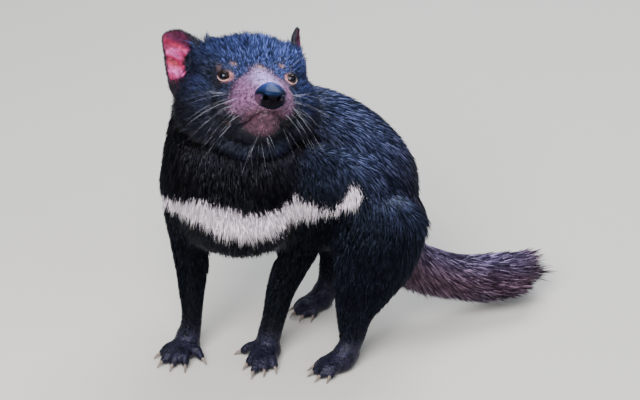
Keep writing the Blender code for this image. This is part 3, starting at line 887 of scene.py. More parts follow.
def eye_axes(sign):
    """An eye's middle, its gaze, its lids' line towards the nose, and the lids' up, in the head's frame."""
    place, forward, up = EYE_PLACE
    middle = np.array([sign * (place - EYE_INWARD), forward, up], float)
    yaw, lift, tilt = (math.radians(angle) for angle in (EYE_GAZE, EYE_LIFT, EYE_TILT))
    gaze = np.array([sign * math.sin(yaw) * math.cos(lift), math.cos(yaw) * math.cos(lift), math.sin(lift)])
    upward = np.array([0, 0, 1]) - gaze * gaze[2]
    upward /= np.linalg.norm(upward)
    inward = np.array([-sign, 0, 0], float)
    inward -= gaze * (inward @ gaze) + upward * (inward @ upward)
    inward /= np.linalg.norm(inward)
    leaned = inward * math.cos(tilt) - upward * math.sin(tilt)
    return middle, gaze, leaned, inward * math.sin(tilt) + upward * math.cos(tilt)


def opening(across, upward):
    """1 on the edge of the lids, less inside and more outside."""
    wide = np.where(across > 0, OPENING[0], OPENING[1])
    high = np.where(upward > 0, OPENING[2], OPENING[3]) * (1 - 0.25 * np.minimum((across / wide) ** 2, 1))
    return np.sqrt((across / wide) ** 2 + (upward / high) ** 2)


def shape_face(local, facing):
    """Moves points of the face, given with their normals in the head's frame: the muzzle's flanks, the
    whisker pads, the lips, the furrow under the nose, the brows and the sockets of the eyes."""
    left, forward, up = local.T
    side = np.abs(left)
    slim = ramp(forward, 2, 18) * (1 - ramp(forward, 40, 50)) * ramp(-up, 4, 14) * (1 - ramp(-up, 42, 52))
    local = local * np.stack([1 - 0.085 * slim, np.ones(len(left)), np.ones(len(left))], 1)
    out = np.zeros(len(left))
    for (x, y, z), radius, height in HUMPS:
        away = (side - x) ** 2 + (forward - y) ** 2 + (up - z) ** 2
        out += height * np.exp(-away / radius**2)
    behind_nose = ((left / 11) ** 2 + ((up + 21) / 9.5) ** 2) ** 2
    out -= 5.0 * np.exp(-behind_nose) * ramp(forward, 34, 42)
    rise = up - np.interp(forward, MOUTH_FORWARD, MOUTH_UP)
    lips = ramp(forward, -8, 20) * ramp(facing[:, 2], -1.2, -0.8)
    out += lips * (1.0 * np.exp(-(((rise - 3.0) / 2.0) ** 2)) + 0.7 * np.exp(-(((rise + 2.8) / 1.8) ** 2)))
    out -= lips * 2.7 * np.exp(-((rise / 0.95) ** 2))
    under_nose = ramp(forward, 38, 44) * ramp(-up, 26, 30) * (1 - ramp(-up, 38, 41))
    out -= under_nose * 1.0 * np.exp(-((left / 0.9) ** 2))
    local = local + facing * out[:, None]
    for sign in (1, -1):
        middle, gaze, inward, upward = eye_axes(sign)
        away = local - middle
        across, above = away @ inward, away @ upward
        edge = opening(across, above)
        distance = np.linalg.norm(away, axis=1)
        lid = EYE_RADIUS + LID_THICKNESS
        beside = np.sqrt(across**2 + above**2)
        wanted = lid + (distance - lid) * ramp(beside, 7.5, 13.5)
        wanted = wanted - 0.7 * np.exp(-(((edge - 1.8) / 0.16) ** 2)) * (above > -2)
        inside = 1 - ramp(edge, 0.84, 1.0)
        wanted = wanted * (1 - inside) + (EYE_RADIUS - 1.8) * inside
        near = ramp(away @ gaze, -1, 3) * (1 - ramp(beside, 13.5, 14.5))
        moved = middle + away * (wanted / np.maximum(distance, 1e-6))[:, None]
        local = local + (moved - local) * near[:, None]
    return local


def from_head(local):
    """Rows of (left, forward, up) millimetres in the head's frame as points in the solids' frame."""
    turn = np.array(HEAD_TURN)
    return local[:, [1, 0, 2]] * MM @ turn.T + np.array(HEAD_PLACE + SHIFT)


def lid_nearness(local):
    """1 on the lids' edge below and towards the nose, less above, falling to 0 outside."""
    near = np.zeros(len(local))
    for sign in (1, -1):
        middle, gaze, inward, upward = eye_axes(sign)
        away = local - middle
        across, above = away @ inward, away @ upward
        wide = 1.62 + 0.58 * ramp(across, 2, 6)
        close = (away @ gaze > 0) & (np.linalg.norm(away, axis=1) < 16)
        flesh = np.maximum(ramp(-above, -0.5, 2.5), ramp(across, 2.5, 5.5))
        near = np.maximum(near, close * (1 - ramp(opening(across, above), 1.1, wide)) * (0.54 + 0.46 * flesh))
    return near


def band_depth(points):
    """How many millimetres a point lies inside the white band of the chest, less than 0 outside."""
    x, y, z = (points - np.array(SHIFT)).T
    places, low, high = np.array(BAND_EDGES).T
    inside = np.minimum(z - np.interp(y, places, low), np.interp(y, places, high) - z) / MM
    front = (x - np.interp(y, *np.array(BAND_FRONT).T)) / MM
    ends = np.minimum(y - BAND_ENDS[0], BAND_ENDS[1] - y) / MM
    return np.minimum(np.minimum(inside, ends), front)


def colour_tail(points, facing, part):
    """The tail's coat: rusty at its sides and end, with a painted slate sheen on top towards the root and
    painted shade, nearly black, below.
    """
    rust, painted_sheen_slate, painted_shade_black = (np.array(shade) for shade in TAIL_COLOURS)
    # Painted light: slate where the tail faces upwards, for sheen, and near black where it faces downwards,
    # for shade
    above = ramp(facing[:, 2] + 0.8 * ripple(points, 260.0), 0.1, 0.8) * (1 - 0.7 * ramp(part, 0.55, 0.9))
    below = ramp(-facing[:, 2] + 0.8 * ripple(points, 210.0), -0.1, 0.7)
    tone = rust + (painted_sheen_slate - rust) * above[:, None]
    return tone + (painted_shade_black - tone) * 0.85 * below[:, None]


def colour_skin(points, facing, region, part, bare, lids):
    """The colour of coat and skin at each point, before grain and flecks, with a painted sky sheen where the
    coat faces upwards.
    """
    left, forward, up = to_head(points).T
    on_head = within(region, "head")
    rise = up - np.interp(forward, MOUTH_FORWARD, MOUTH_UP)
    # Painted sheen: the coat is painted lighter and bluer where it faces upwards, for the sky's reflection.
    # It is left out in the mouth's line and is less on the cheeks and where the body faces forwards. On the
    # head it is painted brighter towards the left side, as painted light from that side
    skyward = ramp(facing[:, 2] + 0.30 * facing[:, 1] * on_head, 0.12, 0.95)
    skyward = skyward * (1 - np.exp(-((rise / 5) ** 2)) * ramp(forward, -16, -6) * on_head)
    cheek = ramp(np.abs(left), 20, 34) * (1 - ramp(up, 0, 14))
    skyward = skyward * np.where(on_head, (1 - 0.5 * cheek) * (0.75 + 0.55 * ramp(left, -40, 25)), 1)
    share = np.array(PAINTED_SHEEN_SHARES)[region]
    share += np.where(within(region, *LIMBS), 0.28 * (1 - ramp(part, 0.05, 0.40)), 0)
    share = share * (1 - 0.75 * ramp(facing[:, 0], 0.30, 0.80))
    painted_sheen = np.where(on_head[:, None], HEAD_PAINTED_SHEEN, np.array(BODY_PAINTED_SHEEN) * share[:, None])
    coat = np.array(COAT_COLOURS)[region] + painted_sheen * skyward[:, None]
    behind = (ramp(facing[:, 1], 0.25, 0.85) * within(region, "trunk"))[:, None]
    coat = coat * (1 - 0.35 * behind) + np.array(WARMTH) * behind
    bridge = np.exp(-((left / 11) ** 2)) * ramp(up, -24, -4) * (0.35 + 0.65 * ramp(forward, 2, 24))
    muzzle = blended(MUZZLE_COLOUR, BRIDGE_COLOUR, bridge)
    muzzle = blended(muzzle, LIP_COLOUR, (1 - ramp(rise, 0, 13)) * 0.92)
    muzzle = blended(muzzle, SPOT_COLOUR, (1 - ramp(forward, 0, 8)) * on_head)
    muzzle = blended(muzzle, LID_COLOUR, lids)
    face = (np.maximum(bare, lids) * on_head)[:, None]
    paw = ((1 - ramp(points[:, 2], 0.022, 0.042)) * ~on_head)[:, None]
    return coat, 0.35 * coat * (1 - face - paw) + muzzle * face + np.array(PAW_COLOUR) * paw


# The skin's shape: thinned under the coat, finer on face and paws, set in by the coat's depth
skin = make_skin()
points = coordinates(skin)
thin_body(skin, np.maximum(head_mask(points), paw_mask(points)))
points = coordinates(skin)
refine(skin, np.maximum(face_mask(points), paw_mask(points)) > 0.5)
refine(skin, fine_mask(coordinates(skin)) > 0.5)
points = coordinates(skin)
ends = edges_of(skin)
region, lie, depth, reach, part = fields(points)
on_head = within(region, "head")
on_tail = within(region, "tail")
depth = spread(depth * np.array(SKIN_INSETS)[region], ends, 8)
points = points - normals(skin) * depth[:, None] * MM
set_coordinates(skin, points)
facing_head = normals(skin) @ np.array(HEAD_TURN)
moved = shape_face(to_head(points), facing_head[:, [1, 0, 2]])
points = np.where(on_head[:, None], from_head(moved), points)
beyond = np.maximum(points[:, 1] - SHIFT.y - TAIL_FLESH, 0)
points[:, 1] -= np.where(on_tail, TAIL_SHORTENING * beyond, 0)
points[:, 2] = np.maximum(points[:, 2], 0)
set_coordinates(skin, points)
facing = normals(skin)
local = to_head(points)

# How its hair lies and how long it is
lie = spread(lie, ends, LIE_ROUNDS)
still = np.maximum(bare_face(local) * on_head, 1 - ramp(points[:, 2], 0.02, 0.06))
lie += unrest(points, LIE_WAVES) * LIE_UNREST * (1 - still)[:, None]
outward = (lie * facing).sum(1)
standing = np.where(on_tail, 1, np.where(on_head, tuft_nearness(local), 0))
lie = lie - facing * (outward - standing * np.maximum(outward, 0))[:, None]
lie /= np.maximum(np.linalg.norm(lie, axis=1), 1e-6)[:, None]
rise = TAIL_RISE * on_tail * (0.3 + ramp(part, 0.1, 0.6)) + CROWN_RISE * on_head * ramp(local[:, 2], 24, 40)
lie += facing * rise[:, None]
reach = reach + np.where(on_tail, TAIL_HAIR * ramp(part, 0.30, 0.65), 0)
reach = reach * np.where(on_tail, 1 + TAIL_TIP_HAIR * ramp(part, 0.84, 1.0), 1)
reach = spread(reach, ends, 6)

# Where hair grows, how thickly, and how wide its tufts are
lids = lid_nearness(local) * on_head
bare = np.where(on_head, bare_face(local), 1 - ramp(points[:, 2], 0.020, 0.034))
thick = np.array(COAT_THICKNESS)[region] * (1 - 0.82 * bare)
thick = thick * (1 - ramp(lids, 0.0, 0.35)) * np.where(on_tail, 1 - 0.40 * ramp(part, 0.7, 1.0), 1)
for sign in (1, -1):
    middle, _, inward, upward = eye_axes(sign)
    away = local - middle
    on_eye = np.linalg.norm(away, axis=1) < EYE_RADIUS + 1.6
    thick[on_eye & (opening(away @ inward, away @ upward) < 1.15)] = 0
underfoot = (points[:, 2] < 0.006) | ((points[:, 2] < 0.02) & (facing[:, 2] < -0.1))
thick[underfoot] = 0
width = np.array(TUFT_HALF_WIDTHS)[region] * (1 - 0.4 * bare)
width = spread(width * np.where(on_tail, 1 - 0.3 * ramp(part, 0.6, 0.9), 1), ends, 6)

# The colours of hair and skin
coat_colour, skin_colour = colour_skin(points, facing, region, part, bare, lids)
coat_colour = np.where(on_tail[:, None], colour_tail(points, facing, part), coat_colour)
coat_colour = spread(coat_colour, ends, 14)
coat_colour = coat_colour * (1 - 0.6 * bare[:, None]) + skin_colour * 0.6 * bare[:, None]
skin_colour = spread(skin_colour, ends, 2)
mouth_rise = local[:, 2] - np.interp(local[:, 1], MOUTH_FORWARD, MOUTH_UP)
frost = bare * (0.45 + 0.55 * ramp(mouth_rise, -3, 5))
skyward = ramp(facing[:, 2], 0.2, 0.6)
dull = spread(np.array(DULLNESS)[region] * (1 - 0.8 * skyward), ends, 4)

# What the tufts and the materials read at each point
add_attributes(
    skin,
    lie=lie,
    reach=MM * (reach * (1 - 0.35 * bare) + 1.5 * bare * on_head),
    thick=thick,
    tuft_width=width * MM,
    bare=np.maximum(bare, lids),
    frost=np.where(on_head & (local[:, 1] > 2), frost, 0),
    dull=np.maximum(dull, 0.6 * bare * ~on_head),
    # how grey the hair's painted highlights are
    wash=np.where(on_head, 0.20, 0.36),
    band=band_depth(points),
    tint=opaque(coat_colour),
    skin_tint=opaque(skin_colour),
)
unwrap(skin)


class Tree:
    """A node tree that is written as expressions: a Wire stands for a socket, and its operators add nodes."""

    def __init__(self, tree):
        self.tree = tree

    def node(self, kind, settings=None, **values):
        """Adds a node: its settings, then the values or wires of its sockets, by name with _ for a space, or
        by their number after a letter."""
        made = self.tree.nodes.new(kind)
        for name, value in (settings or {}).items():
            setattr(made, name, value)
        for name, value in values.items():
            self.plug(self.socket(made, name), value)
        return made

    def socket(self, made, name):
        wanted = name.replace("_", " ")
        shown = [item for item in made.inputs if item.name == wanted and item.enabled]
        if shown:
            return shown[0]
        return made.inputs[int(name[1:])]

    def plug(self, socket, value):
        if isinstance(value, Wire):
            self.tree.links.new(value.socket, socket)
        elif isinstance(value, bpy.types.NodeSocket):
            self.tree.links.new(value, socket)
        elif value is not None:
            socket.default_value = value

    def wire(self, kind, settings=None, out=0, **values):
        """Adds a node and gives the wire of one of its outputs, by name or number."""
        made = self.node(kind, settings, **values)
        if isinstance(out, str):
            shown = [item for item in made.outputs if item.name == out and item.enabled]
            return Wire(self, shown[0])
        return Wire(self, [item for item in made.outputs if item.enabled][out])


class Wire:
    """A socket that takes part in sums."""

    def __init__(self, tree, socket):
        self.tree = tree
        self.socket = socket

    def maths(self, operation, first, second=None):
        return self.tree.wire("ShaderNodeMath", {"operation": operation}, i0=first, i1=second)

    def __add__(self, other):
        return self.maths("ADD", self, other)

    __radd__ = __add__

    def __mul__(self, other):
        return self.maths("MULTIPLY", self, other)

    __rmul__ = __mul__

    def __sub__(self, other):
        return self.maths("SUBTRACT", self, other)

    def __rsub__(self, other):
        return self.maths("SUBTRACT", other, self)

    def __gt__(self, other):
        return self.maths("GREATER_THAN", self, other)

    def clamped(self):
        return self.tree.wire("ShaderNodeClamp", None, Value=self)

    def fraction(self):
        return self.maths("FRACT", self)


# How much of the UV map OFBake one tuft's own flat layout takes
TUFT_PATCH = 0.003
# Waves a metre of the locks, the groups of tufts that are lighter or darker together, partly by their own
# tone and partly as painted highlight and shade
LOCK_SCALE = 380.0
LOCK_CONTRAST = 3.2
# A tuft is a thin three-sided spike along +X, one long, that rises off the skin and lies down: the place of
# its middle and of its tip, each as how far along, how high and how far aside
TUFT_SHAPES = [
    ((0.40, 0.19, 0.2), (1.0, 0.28, 0.8)),
    ((0.45, 0.21, -0.3), (1.0, 0.24, -0.9)),
    ((0.38, 0.16, 0.0), (1.0, 0.18, 0.3)),
    ((0.48, 0.24, 0.1), (1.0, 0.34, -0.4)),
]


def make_tuft(name, middle, tip, collection):
    """A closed spike of ten triangles, with its own flat layout in the UV map patch."""
    stations = [(0.0, -0.02, 0.0, 0.55, 0.012), (*middle, 1.0, 0.018)]
    mesh = bmesh.new()
    layout = mesh.loops.layers.uv.new("patch")
    mesh.verts.layers.float.new("along")
    rings = []
    for along, rise, aside, half, thick in stations:
        corners = [(aside - half, rise - thick), (aside + half, rise - thick), (aside, rise + 2 * thick)]
        rings.append([mesh.verts.new((along, *corner)) for corner in corners])
    point = mesh.verts.new((tip[0], tip[2], tip[1]))
    heights = [0.0, middle[0], 1.0]

    def face(corners):
        made = mesh.faces.new([vert for vert, _ in corners])
        for loop, (_, place) in zip(made.loops, corners):
            loop[layout].uv = place

    root = rings[0]
    depths = mesh.verts.layers.float["along"]
    for ring, height in zip(rings, heights):
        for vert in ring:
            vert[depths] = height
    point[depths] = 1.0
    face([(root[0], (0, 0)), (root[2], (0.02, 0.33)), (root[1], (0, 0.66))])
    for j in range(3):
        k = (j + 1) % 3
        low, high = rings
        near, far = j / 3, (j + 1) / 3
        shoulder = [(high[k], (heights[1], far)), (high[j], (heights[1], near))]
        face([(low[j], (0, near)), (low[k], (0, far)), *shoulder])
        face([*shoulder[::-1], (point, (1, (near + far) / 2))])
    bmesh.ops.recalc_face_normals(mesh, faces=mesh.faces)
    data = bpy.data.meshes.new(name)
    mesh.to_mesh(data)
    mesh.free()
    tuft = bpy.data.objects.new(name, data)
    collection.objects.link(tuft)
    return tuft


def coat_tree(tufts):
    """Sows tufts over one part of the skin, each laid along the lie of the coat there."""
    group = bpy.data.node_groups.new("coat", "GeometryNodeTree")
    face = group.interface
    face.new_socket("Geometry", in_out="OUTPUT", socket_type="NodeSocketGeometry")
    face.new_socket("Geometry", in_out="INPUT", socket_type="NodeSocketGeometry")
    for name, kind, value in (
        ("Part", "NodeSocketInt", 0),
        ("Tufts per square metre", "NodeSocketFloat", 1e6),
        ("Scatter of lie", "NodeSocketFloat", 0.22),
        ("Scatter of length", "NodeSocketFloat", 0.25),
        ("Seed", "NodeSocketInt", SEED),
    ):
        socket = face.new_socket(name, in_out="INPUT", socket_type=kind)
        socket.default_value = value
    face.new_socket("Material", in_out="INPUT", socket_type="NodeSocketMaterial")
    tree = Tree(group)
    given = group.nodes.new("NodeGroupInput").outputs

    def attribute(name, kind="FLOAT"):
        return tree.wire("GeometryNodeInputNamedAttribute", {"data_type": kind}, Name=name)

    def chance_of(low, high, number, kind="FLOAT"):
        made = tree.node("FunctionNodeRandomValue", {"data_type": kind})
        shown = {item.name: item for item in made.inputs if item.enabled}
        tree.plug(shown["Min"], low)
        tree.plug(shown["Max"], high)
        tree.plug(shown["Seed"], Wire(tree, given["Seed"]) * 10 + number)
        return Wire(tree, [item for item in made.outputs if item.enabled][0])

    def arrows(operation, **values):
        return tree.wire("ShaderNodeVectorMath", {"operation": operation}, **values)

    def aligned(axis, pivot, **values):
        settings = {"axis": axis, "pivot_axis": pivot}
        return tree.wire("FunctionNodeAlignRotationToVector", settings, **values)

    def stored(kind, domain, **values):
        settings = {"data_type": kind, "domain": domain}
        return tree.wire("GeometryNodeStoreNamedAttribute", settings, **values)

    equal = {"data_type": "INT", "operation": "EQUAL"}
    same = tree.wire("FunctionNodeCompare", equal, A=attribute("part", "INT"), B=given["Part"])
    chosen = tree.wire(
        "GeometryNodeSeparateGeometry", {"domain": "FACE"}, Geometry=given["Geometry"], Selection=same
    )
    density = attribute("thick") * given["Tufts per square metre"]
    sown = tree.node(
        "GeometryNodeDistributePointsOnFaces", None, Mesh=chosen, Density=density, Seed=given["Seed"]
    )
    normal = Wire(tree, sown.outputs["Normal"])
    chance = chance_of((-1, -1, -1), (1, 1, 1), 1, "FLOAT_VECTOR")
    aside = arrows("CROSS_PRODUCT", i0=normal, i1=chance)
    scatter = arrows("SCALE", Vector=aside, Scale=given["Scatter of lie"])
    way = arrows("ADD", i0=attribute("lie", "FLOAT_VECTOR"), i1=scatter)
    laid = aligned("X", "AUTO", Vector=way)
    turned = aligned("Z", "X", Rotation=laid, Vector=normal)
    spreading = Wire(tree, given["Scatter of length"])
    length = attribute("reach") * chance_of(1 - spreading, 1 + 0.6 * spreading, 2)
    wide = attribute("tuft_width") * chance_of(0.5, 1.5, 3)
    size = tree.wire("ShaderNodeCombineXYZ", None, X=length, Y=wide, Z=length)
    own_place = {"transform_space": "ORIGINAL"}
    kinds = tree.wire("GeometryNodeCollectionInfo", own_place, Collection=tufts, i1=True, i2=True)
    placed = tree.wire(
        "GeometryNodeInstanceOnPoints",
        None,
        Points=sown.outputs["Points"],
        Instance=kinds,
        Pick_Instance=True,
        Instance_Index=chance_of(0, len(TUFT_SHAPES) - 1, 4, "INT"),
        Rotation=turned,
        Scale=size,
    )
    tinted = stored("FLOAT", "INSTANCE", Geometry=placed, Name="chance", Value=chance_of(0.0, 1.0, 5))
    here = tree.wire("GeometryNodeInputPosition")
    lock = tree.wire("ShaderNodeTexNoise", None, "Fac", Vector=here, Scale=LOCK_SCALE, Detail=2.0)
    contrast = ((lock - 0.5) * LOCK_CONTRAST + 0.5).clamped()
    locked = stored("FLOAT", "INSTANCE", Geometry=tinted, Name="lock", Value=contrast)
    real = tree.wire("GeometryNodeRealizeInstances", None, Geometry=locked)
    at = arrows("SCALE", Vector=attribute("patch", "FLOAT_VECTOR"), Scale=TUFT_PATCH)
    place = arrows("ADD", i0=attribute("skin_uv", "FLOAT_VECTOR"), i1=at)
    laid = stored("FLOAT2", "CORNER", Geometry=real, Name="OFBake", Value=place)
    dressed = tree.wire("GeometryNodeSetMaterial", None, Geometry=laid, Material=given["Material"])
    tree.plug(group.nodes.new("NodeGroupOutput").inputs[0], dressed)
    return group


def new_material(name):
    """A material, the tree of its nodes and its shader."""
    material = bpy.data.materials.new(name)
    material.use_nodes = True
    tree = Tree(material.node_tree)
    shader = material.node_tree.nodes["Principled BSDF"]
    return material, tree, shader


def attribute(tree, name, out="Fac"):
    return tree.wire("ShaderNodeAttribute", {"attribute_name": name}, out)


def mixed(tree, factor, first, second, blend="MIX"):
    settings = {"data_type": "RGBA", "blend_type": blend}
    return tree.wire("ShaderNodeMix", settings, Factor=factor, A=first, B=second)


def multiplied(tree, tint, red, green, painted_reflection):
    """A colour times a shade of its own for each of its three parts."""
    shade = tree.wire("ShaderNodeCombineColor", None, Red=red, Green=green, Blue=painted_reflection)
    return mixed(tree, 1.0, tint, shade, "MULTIPLY")


def noise(tree, scale, detail=3):
    place = tree.wire("ShaderNodeTexCoord", None, "Object")
    return tree.wire("ShaderNodeTexNoise", None, "Fac", Vector=place, Scale=scale, Detail=detail)


def cells(tree, scale, feature="F1"):
    place = tree.wire("ShaderNodeTexCoord", None, "Object")
    return tree.wire("ShaderNodeTexVoronoi", {"feature": feature}, "Distance", Vector=place, Scale=scale)


def bumped(tree, shader, height, distance, strength=1.0):
    bump = tree.wire("ShaderNodeBump", None, Height=height, Distance=distance, Strength=strength)
    tree.plug(shader.inputs["Normal"], bump)


def colour(*values):
    return (*values, 1.0)


def fur_material():
    """Hair that is darker at its root, as painted shade deep in the coat, and takes the coat's colour towards
    its tip, with painted highlights on some hairs; white in the band.
    """
    material, tree, shader = new_material("coat_hair")
    along = attribute(tree, "along")
    chance = attribute(tree, "chance")
    tint = attribute(tree, "tint", "Color")
    lock = attribute(tree, "lock")
    # Painted highlights: hairs picked by chance and lock are painted much brighter towards their tips and
    # greyer, for glints of light. The root is painted darker, for shade in the coat, and the locks lighter
    # and darker, partly painted highlight and shade
    light = ((chance + 0.6 * lock - 0.84) * 5.0).clamped()
    bright = (0.11 + 0.36 * along + light * (0.60 + 2.5 * along)) * (0.40 + 1.06 * lock)
    grey = tree.wire("ShaderNodeRGBToBW", None, Color=tint)
    washed = mixed(tree, light * attribute(tree, "wash"), tint, grey)
    hair = multiplied(tree, washed, bright, bright, bright)
    stubble = mixed(tree, chance * 0.6 + lock > 1.02, colour(0.060, 0.026, 0.038), colour(0.47, 0.33, 0.42))
    other_chance = (chance * 57.3).fraction()
    hair = mixed(tree, attribute(tree, "frost") + (other_chance - 0.5) * 0.9 > 0.5, hair, stubble)
    patchy = noise(tree, 90.0, 2)
    whiteness = attribute(tree, "band") + (chance - 0.5) * 3.5 + (patchy - 0.5) * 7.0 > 0.0
    white = mixed(tree, along, colour(0.95, 0.79, 0.93), colour(0.99, 0.94, 0.99))
    tree.plug(shader.inputs["Base Color"], mixed(tree, whiteness, hair, white))
    tree.plug(shader.inputs["Metallic"], attribute(tree, "dull") * (1 - whiteness))
    shader.inputs["Roughness"].default_value = 0.42
    shader.inputs["Specular IOR Level"].default_value = 0.28
    shader.inputs["Specular Tint"].default_value = colour(0.60, 0.75, 1.0)
    return material


def skin_material():
    """Skin: black under the coat, mauve and finely pored on the muzzle, wrinkled on the paws."""
    material, tree, shader = new_material("skin")
    tint = attribute(tree, "skin_tint", "Color")
    bare = attribute(tree, "bare")
    blotch = noise(tree, 210.0, 4)
    fleck = noise(tree, 700.0, 2)
    pores = cells(tree, 520.0)
    shade = (0.10 + 2.5 * (blotch - 0.25) + 2.1 * (fleck - 0.5)).clamped() * 1.45 + 0.05
    mottled = multiplied(tree, tint, shade, shade, shade)
    dots = ((0.26 - pores) * 6.0).clamped() * bare * 0.8
    dotted = mixed(tree, dots, mottled, colour(0.035, 0.025, 0.035))
    band = attribute(tree, "band") + (blotch - 0.5) * 9.0 > 0.0
    tree.plug(shader.inputs["Base Color"], mixed(tree, band, dotted, colour(0.62, 0.58, 0.62)))
    tree.plug(shader.inputs["Roughness"], 0.62 - 0.14 * bare + 0.10 * (fleck - 0.5))
    tree.plug(shader.inputs["Metallic"], attribute(tree, "dull") * 0.8)
    creases = cells(tree, 330.0)
    bumped(tree, shader, (creases * 0.5 + blotch * 0.6 + fleck * 0.35) * (0.25 + 0.75 * bare), 0.0014, 0.9)
    shader.inputs["Specular IOR Level"].default_value = 0.30
    return material


# What a coat piece takes over from skin and tufts and doesn't need once it is laid
SPARE_ATTRIBUTES = ["patch", "skin_uv", "lie", "reach", "thick", "tuft_width", "part", "bare", "skin_tint"]
# Piece, the regions it covers, and into how many bands across which axis it is cut
COAT_PIECES = [
    ("coat_head", ["head"], 2, 2),
    ("coat_neck", ["neck"], 2, 1),
    ("coat_trunk", ["trunk"], 3, 1),
    ("coat_limbs", LIMBS, 3, 1),
    ("coat_tail", ["tail"], 1, 1),
]


def split_parts():
    """Gives each face of the skin the number of the coat piece it lies under, with a like number of tufts in
    the bands of a region."""
    count = len(skin.data.polygons)
    first = np.empty(count, np.int32)
    areas = np.empty(count, np.float32)
    skin.data.polygons.foreach_get("loop_start", first)
    skin.data.polygons.foreach_get("area", areas)
    corners = np.empty(len(skin.data.loops), np.int32)
    skin.data.loops.foreach_get("vertex_index", corners)
    corner = corners[first]
    number = np.zeros(count, int)
    load = areas * thick[corner] * 1e6
    names = []
    for name, covered, bands, axis in COAT_PIECES:
        faces = np.flatnonzero(within(region[corner], *covered))
        faces = faces[np.argsort(points[corner[faces], axis])]
        total = np.cumsum(load[faces])
        band = np.minimum((total / total[-1] * bands).astype(int), bands - 1)
        number[faces] = len(names) + band
        names += [f"{name}_{k + 1}" if bands > 1 else name for k in range(bands)]
    number_faces(skin, number)
    return names


def smooth_faces(obj):
    for face in obj.data.polygons:
        face.use_smooth = True


def sow_coat(name, bare_mesh, index, group, material):
    """A coat piece: the tufts over one numbered part of a mesh, as a plain mesh."""
    sockets = {item.name: item.identifier for item in group.interface.items_tree if item.in_out == "INPUT"}
    piece = bpy.data.objects.new(name, bare_mesh)
    bpy.context.scene.collection.objects.link(piece)
    sow = piece.modifiers.new("coat", "NODES")
    sow.node_group = group
    sow[sockets["Part"]] = index
    sow[sockets["Seed"]] = SEED + index
    sow[sockets["Material"]] = material
    bpy.context.view_layer.update()
    graph = bpy.context.evaluated_depsgraph_get()
    data = bpy.data.meshes.new_from_object(piece.evaluated_get(graph), depsgraph=graph)
    piece.modifiers.clear()
    piece.data = data
    data.name = name
    for spare in SPARE_ATTRIBUTES:
        if spare in data.attributes:
            data.attributes.remove(data.attributes[spare])
    data.uv_layers.active = data.uv_layers["OFBake"]
    data.uv_layers["OFBake"].active_render = True
    smooth_faces(piece)
    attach(piece, "root")
    return piece


def finish_piece(piece, material, slot, *nodes):
    """Gives a piece its material and lets it stand for the solids named. Its slot is not used."""
    smooth_faces(piece)
    piece.data.materials.append(material)
    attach(piece, "root")
    if nodes:
        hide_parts(*nodes)
    return piece


FLESH = [
    "head", "neck", "trunk", "tail_root", "tail_tip", "upper_arm_right", "upper_arm_left", "forearm_right",
    "forearm_left", "thigh_left", "thigh_right", "shank_left", "shank_right", "paw_front_right",
    "paw_front_left", "paw_hind_left", "paw_hind_right",
]
hair = fur_material()
tufts = bpy.data.collections.new("tufts")
for index, (middle, tip) in enumerate(TUFT_SHAPES):
    make_tuft(f"tuft_{index}", middle, tip, tufts)
sowing = coat_tree(tufts)
for index, name in enumerate(split_parts()):
    sow_coat(name, skin.data, index, sowing, hair)
finish_piece(skin, skin_material(), "coat", *FLESH)
skin_tree = BVHTree.FromObject(skin, bpy.context.evaluated_depsgraph_get())


def circle(centre, across, up, radius, sides):
    """Places round a circle that starts along across."""
    turns = [2 * math.pi * j / sides for j in range(sides)]
    return [centre + (across * math.cos(a) + up * math.sin(a)) * radius for a in turns]


def tube_mesh(mesh, line, radii, sides):
    """A closed tube of round sections along a line of points, pointed where a radius is 0."""
    count = len(line)
    ways = [(line[min(i + 1, count - 1)] - line[max(i - 1, 0)]).normalized() for i in range(count)]
    across = ways[0].orthogonal().normalized()
    rings = []
    for place, way, radius in zip(line, ways, radii):
        across = (across - way * across.dot(way)).normalized()
        up = way.cross(across)
        if radius == 0:
            rings.append([mesh.verts.new(place)])
            continue
        rings.append([mesh.verts.new(corner) for corner in circle(place, across, up, radius, sides)])
    for low, high in zip(rings, rings[1:]):
        for j in range(sides):
            k = (j + 1) % sides
            if len(high) == 1:
                mesh.faces.new((low[j], low[k], high[0]))
            elif len(low) == 1:
                mesh.faces.new((low[0], high[k], high[j]))
            else:
                mesh.faces.new((low[j], low[k], high[k], high[j]))
    for ring, forward in ((rings[0], False), (rings[-1], True)):
        if len(ring) > 1:
            mesh.faces.new(ring if forward else ring[::-1])


def head_vector(row):
    """A direction in the head's frame, turned into the solids' frame."""
    left, forward, up = (float(value) for value in row)
    return HEAD_TURN @ Vector((forward, left, up))


# How far the pupil and the iris reach from an eye's axis and how far the cornea stands out, in millimetres
PUPIL = 2.9
IRIS = 6.2
CORNEA_RISE = 0.55
# Rings round the opening of the lids, and corners in each
LID_STEPS = 72
LID_SIDES = 12


def make_eye(name, sign):
    """An eyeball with a cornea that stands a little proud of it, its axis along the gaze."""
    middle, gaze, _, _ = eye_axes(sign)
    mesh = bmesh.new()
    bmesh.ops.create_uvsphere(mesh, u_segments=48, v_segments=32, radius=EYE_RADIUS)
    aim = head_vector(gaze)
    turn = aim.to_track_quat("Z", "Y").to_matrix()
    from_axis = mesh.verts.layers.float.new("from_axis")
    for vert in mesh.verts:
        beside = math.hypot(vert.co.x, vert.co.y)
        if vert.co.z > 0:
            vert.co.z += CORNEA_RISE * float(1 - ramp(beside, 2.0, IRIS))
            vert[from_axis] = beside
        else:
            vert[from_axis] = EYE_RADIUS
        vert.co = in_head(*middle) + turn @ vert.co * MM
    return new_object(name, mesh)


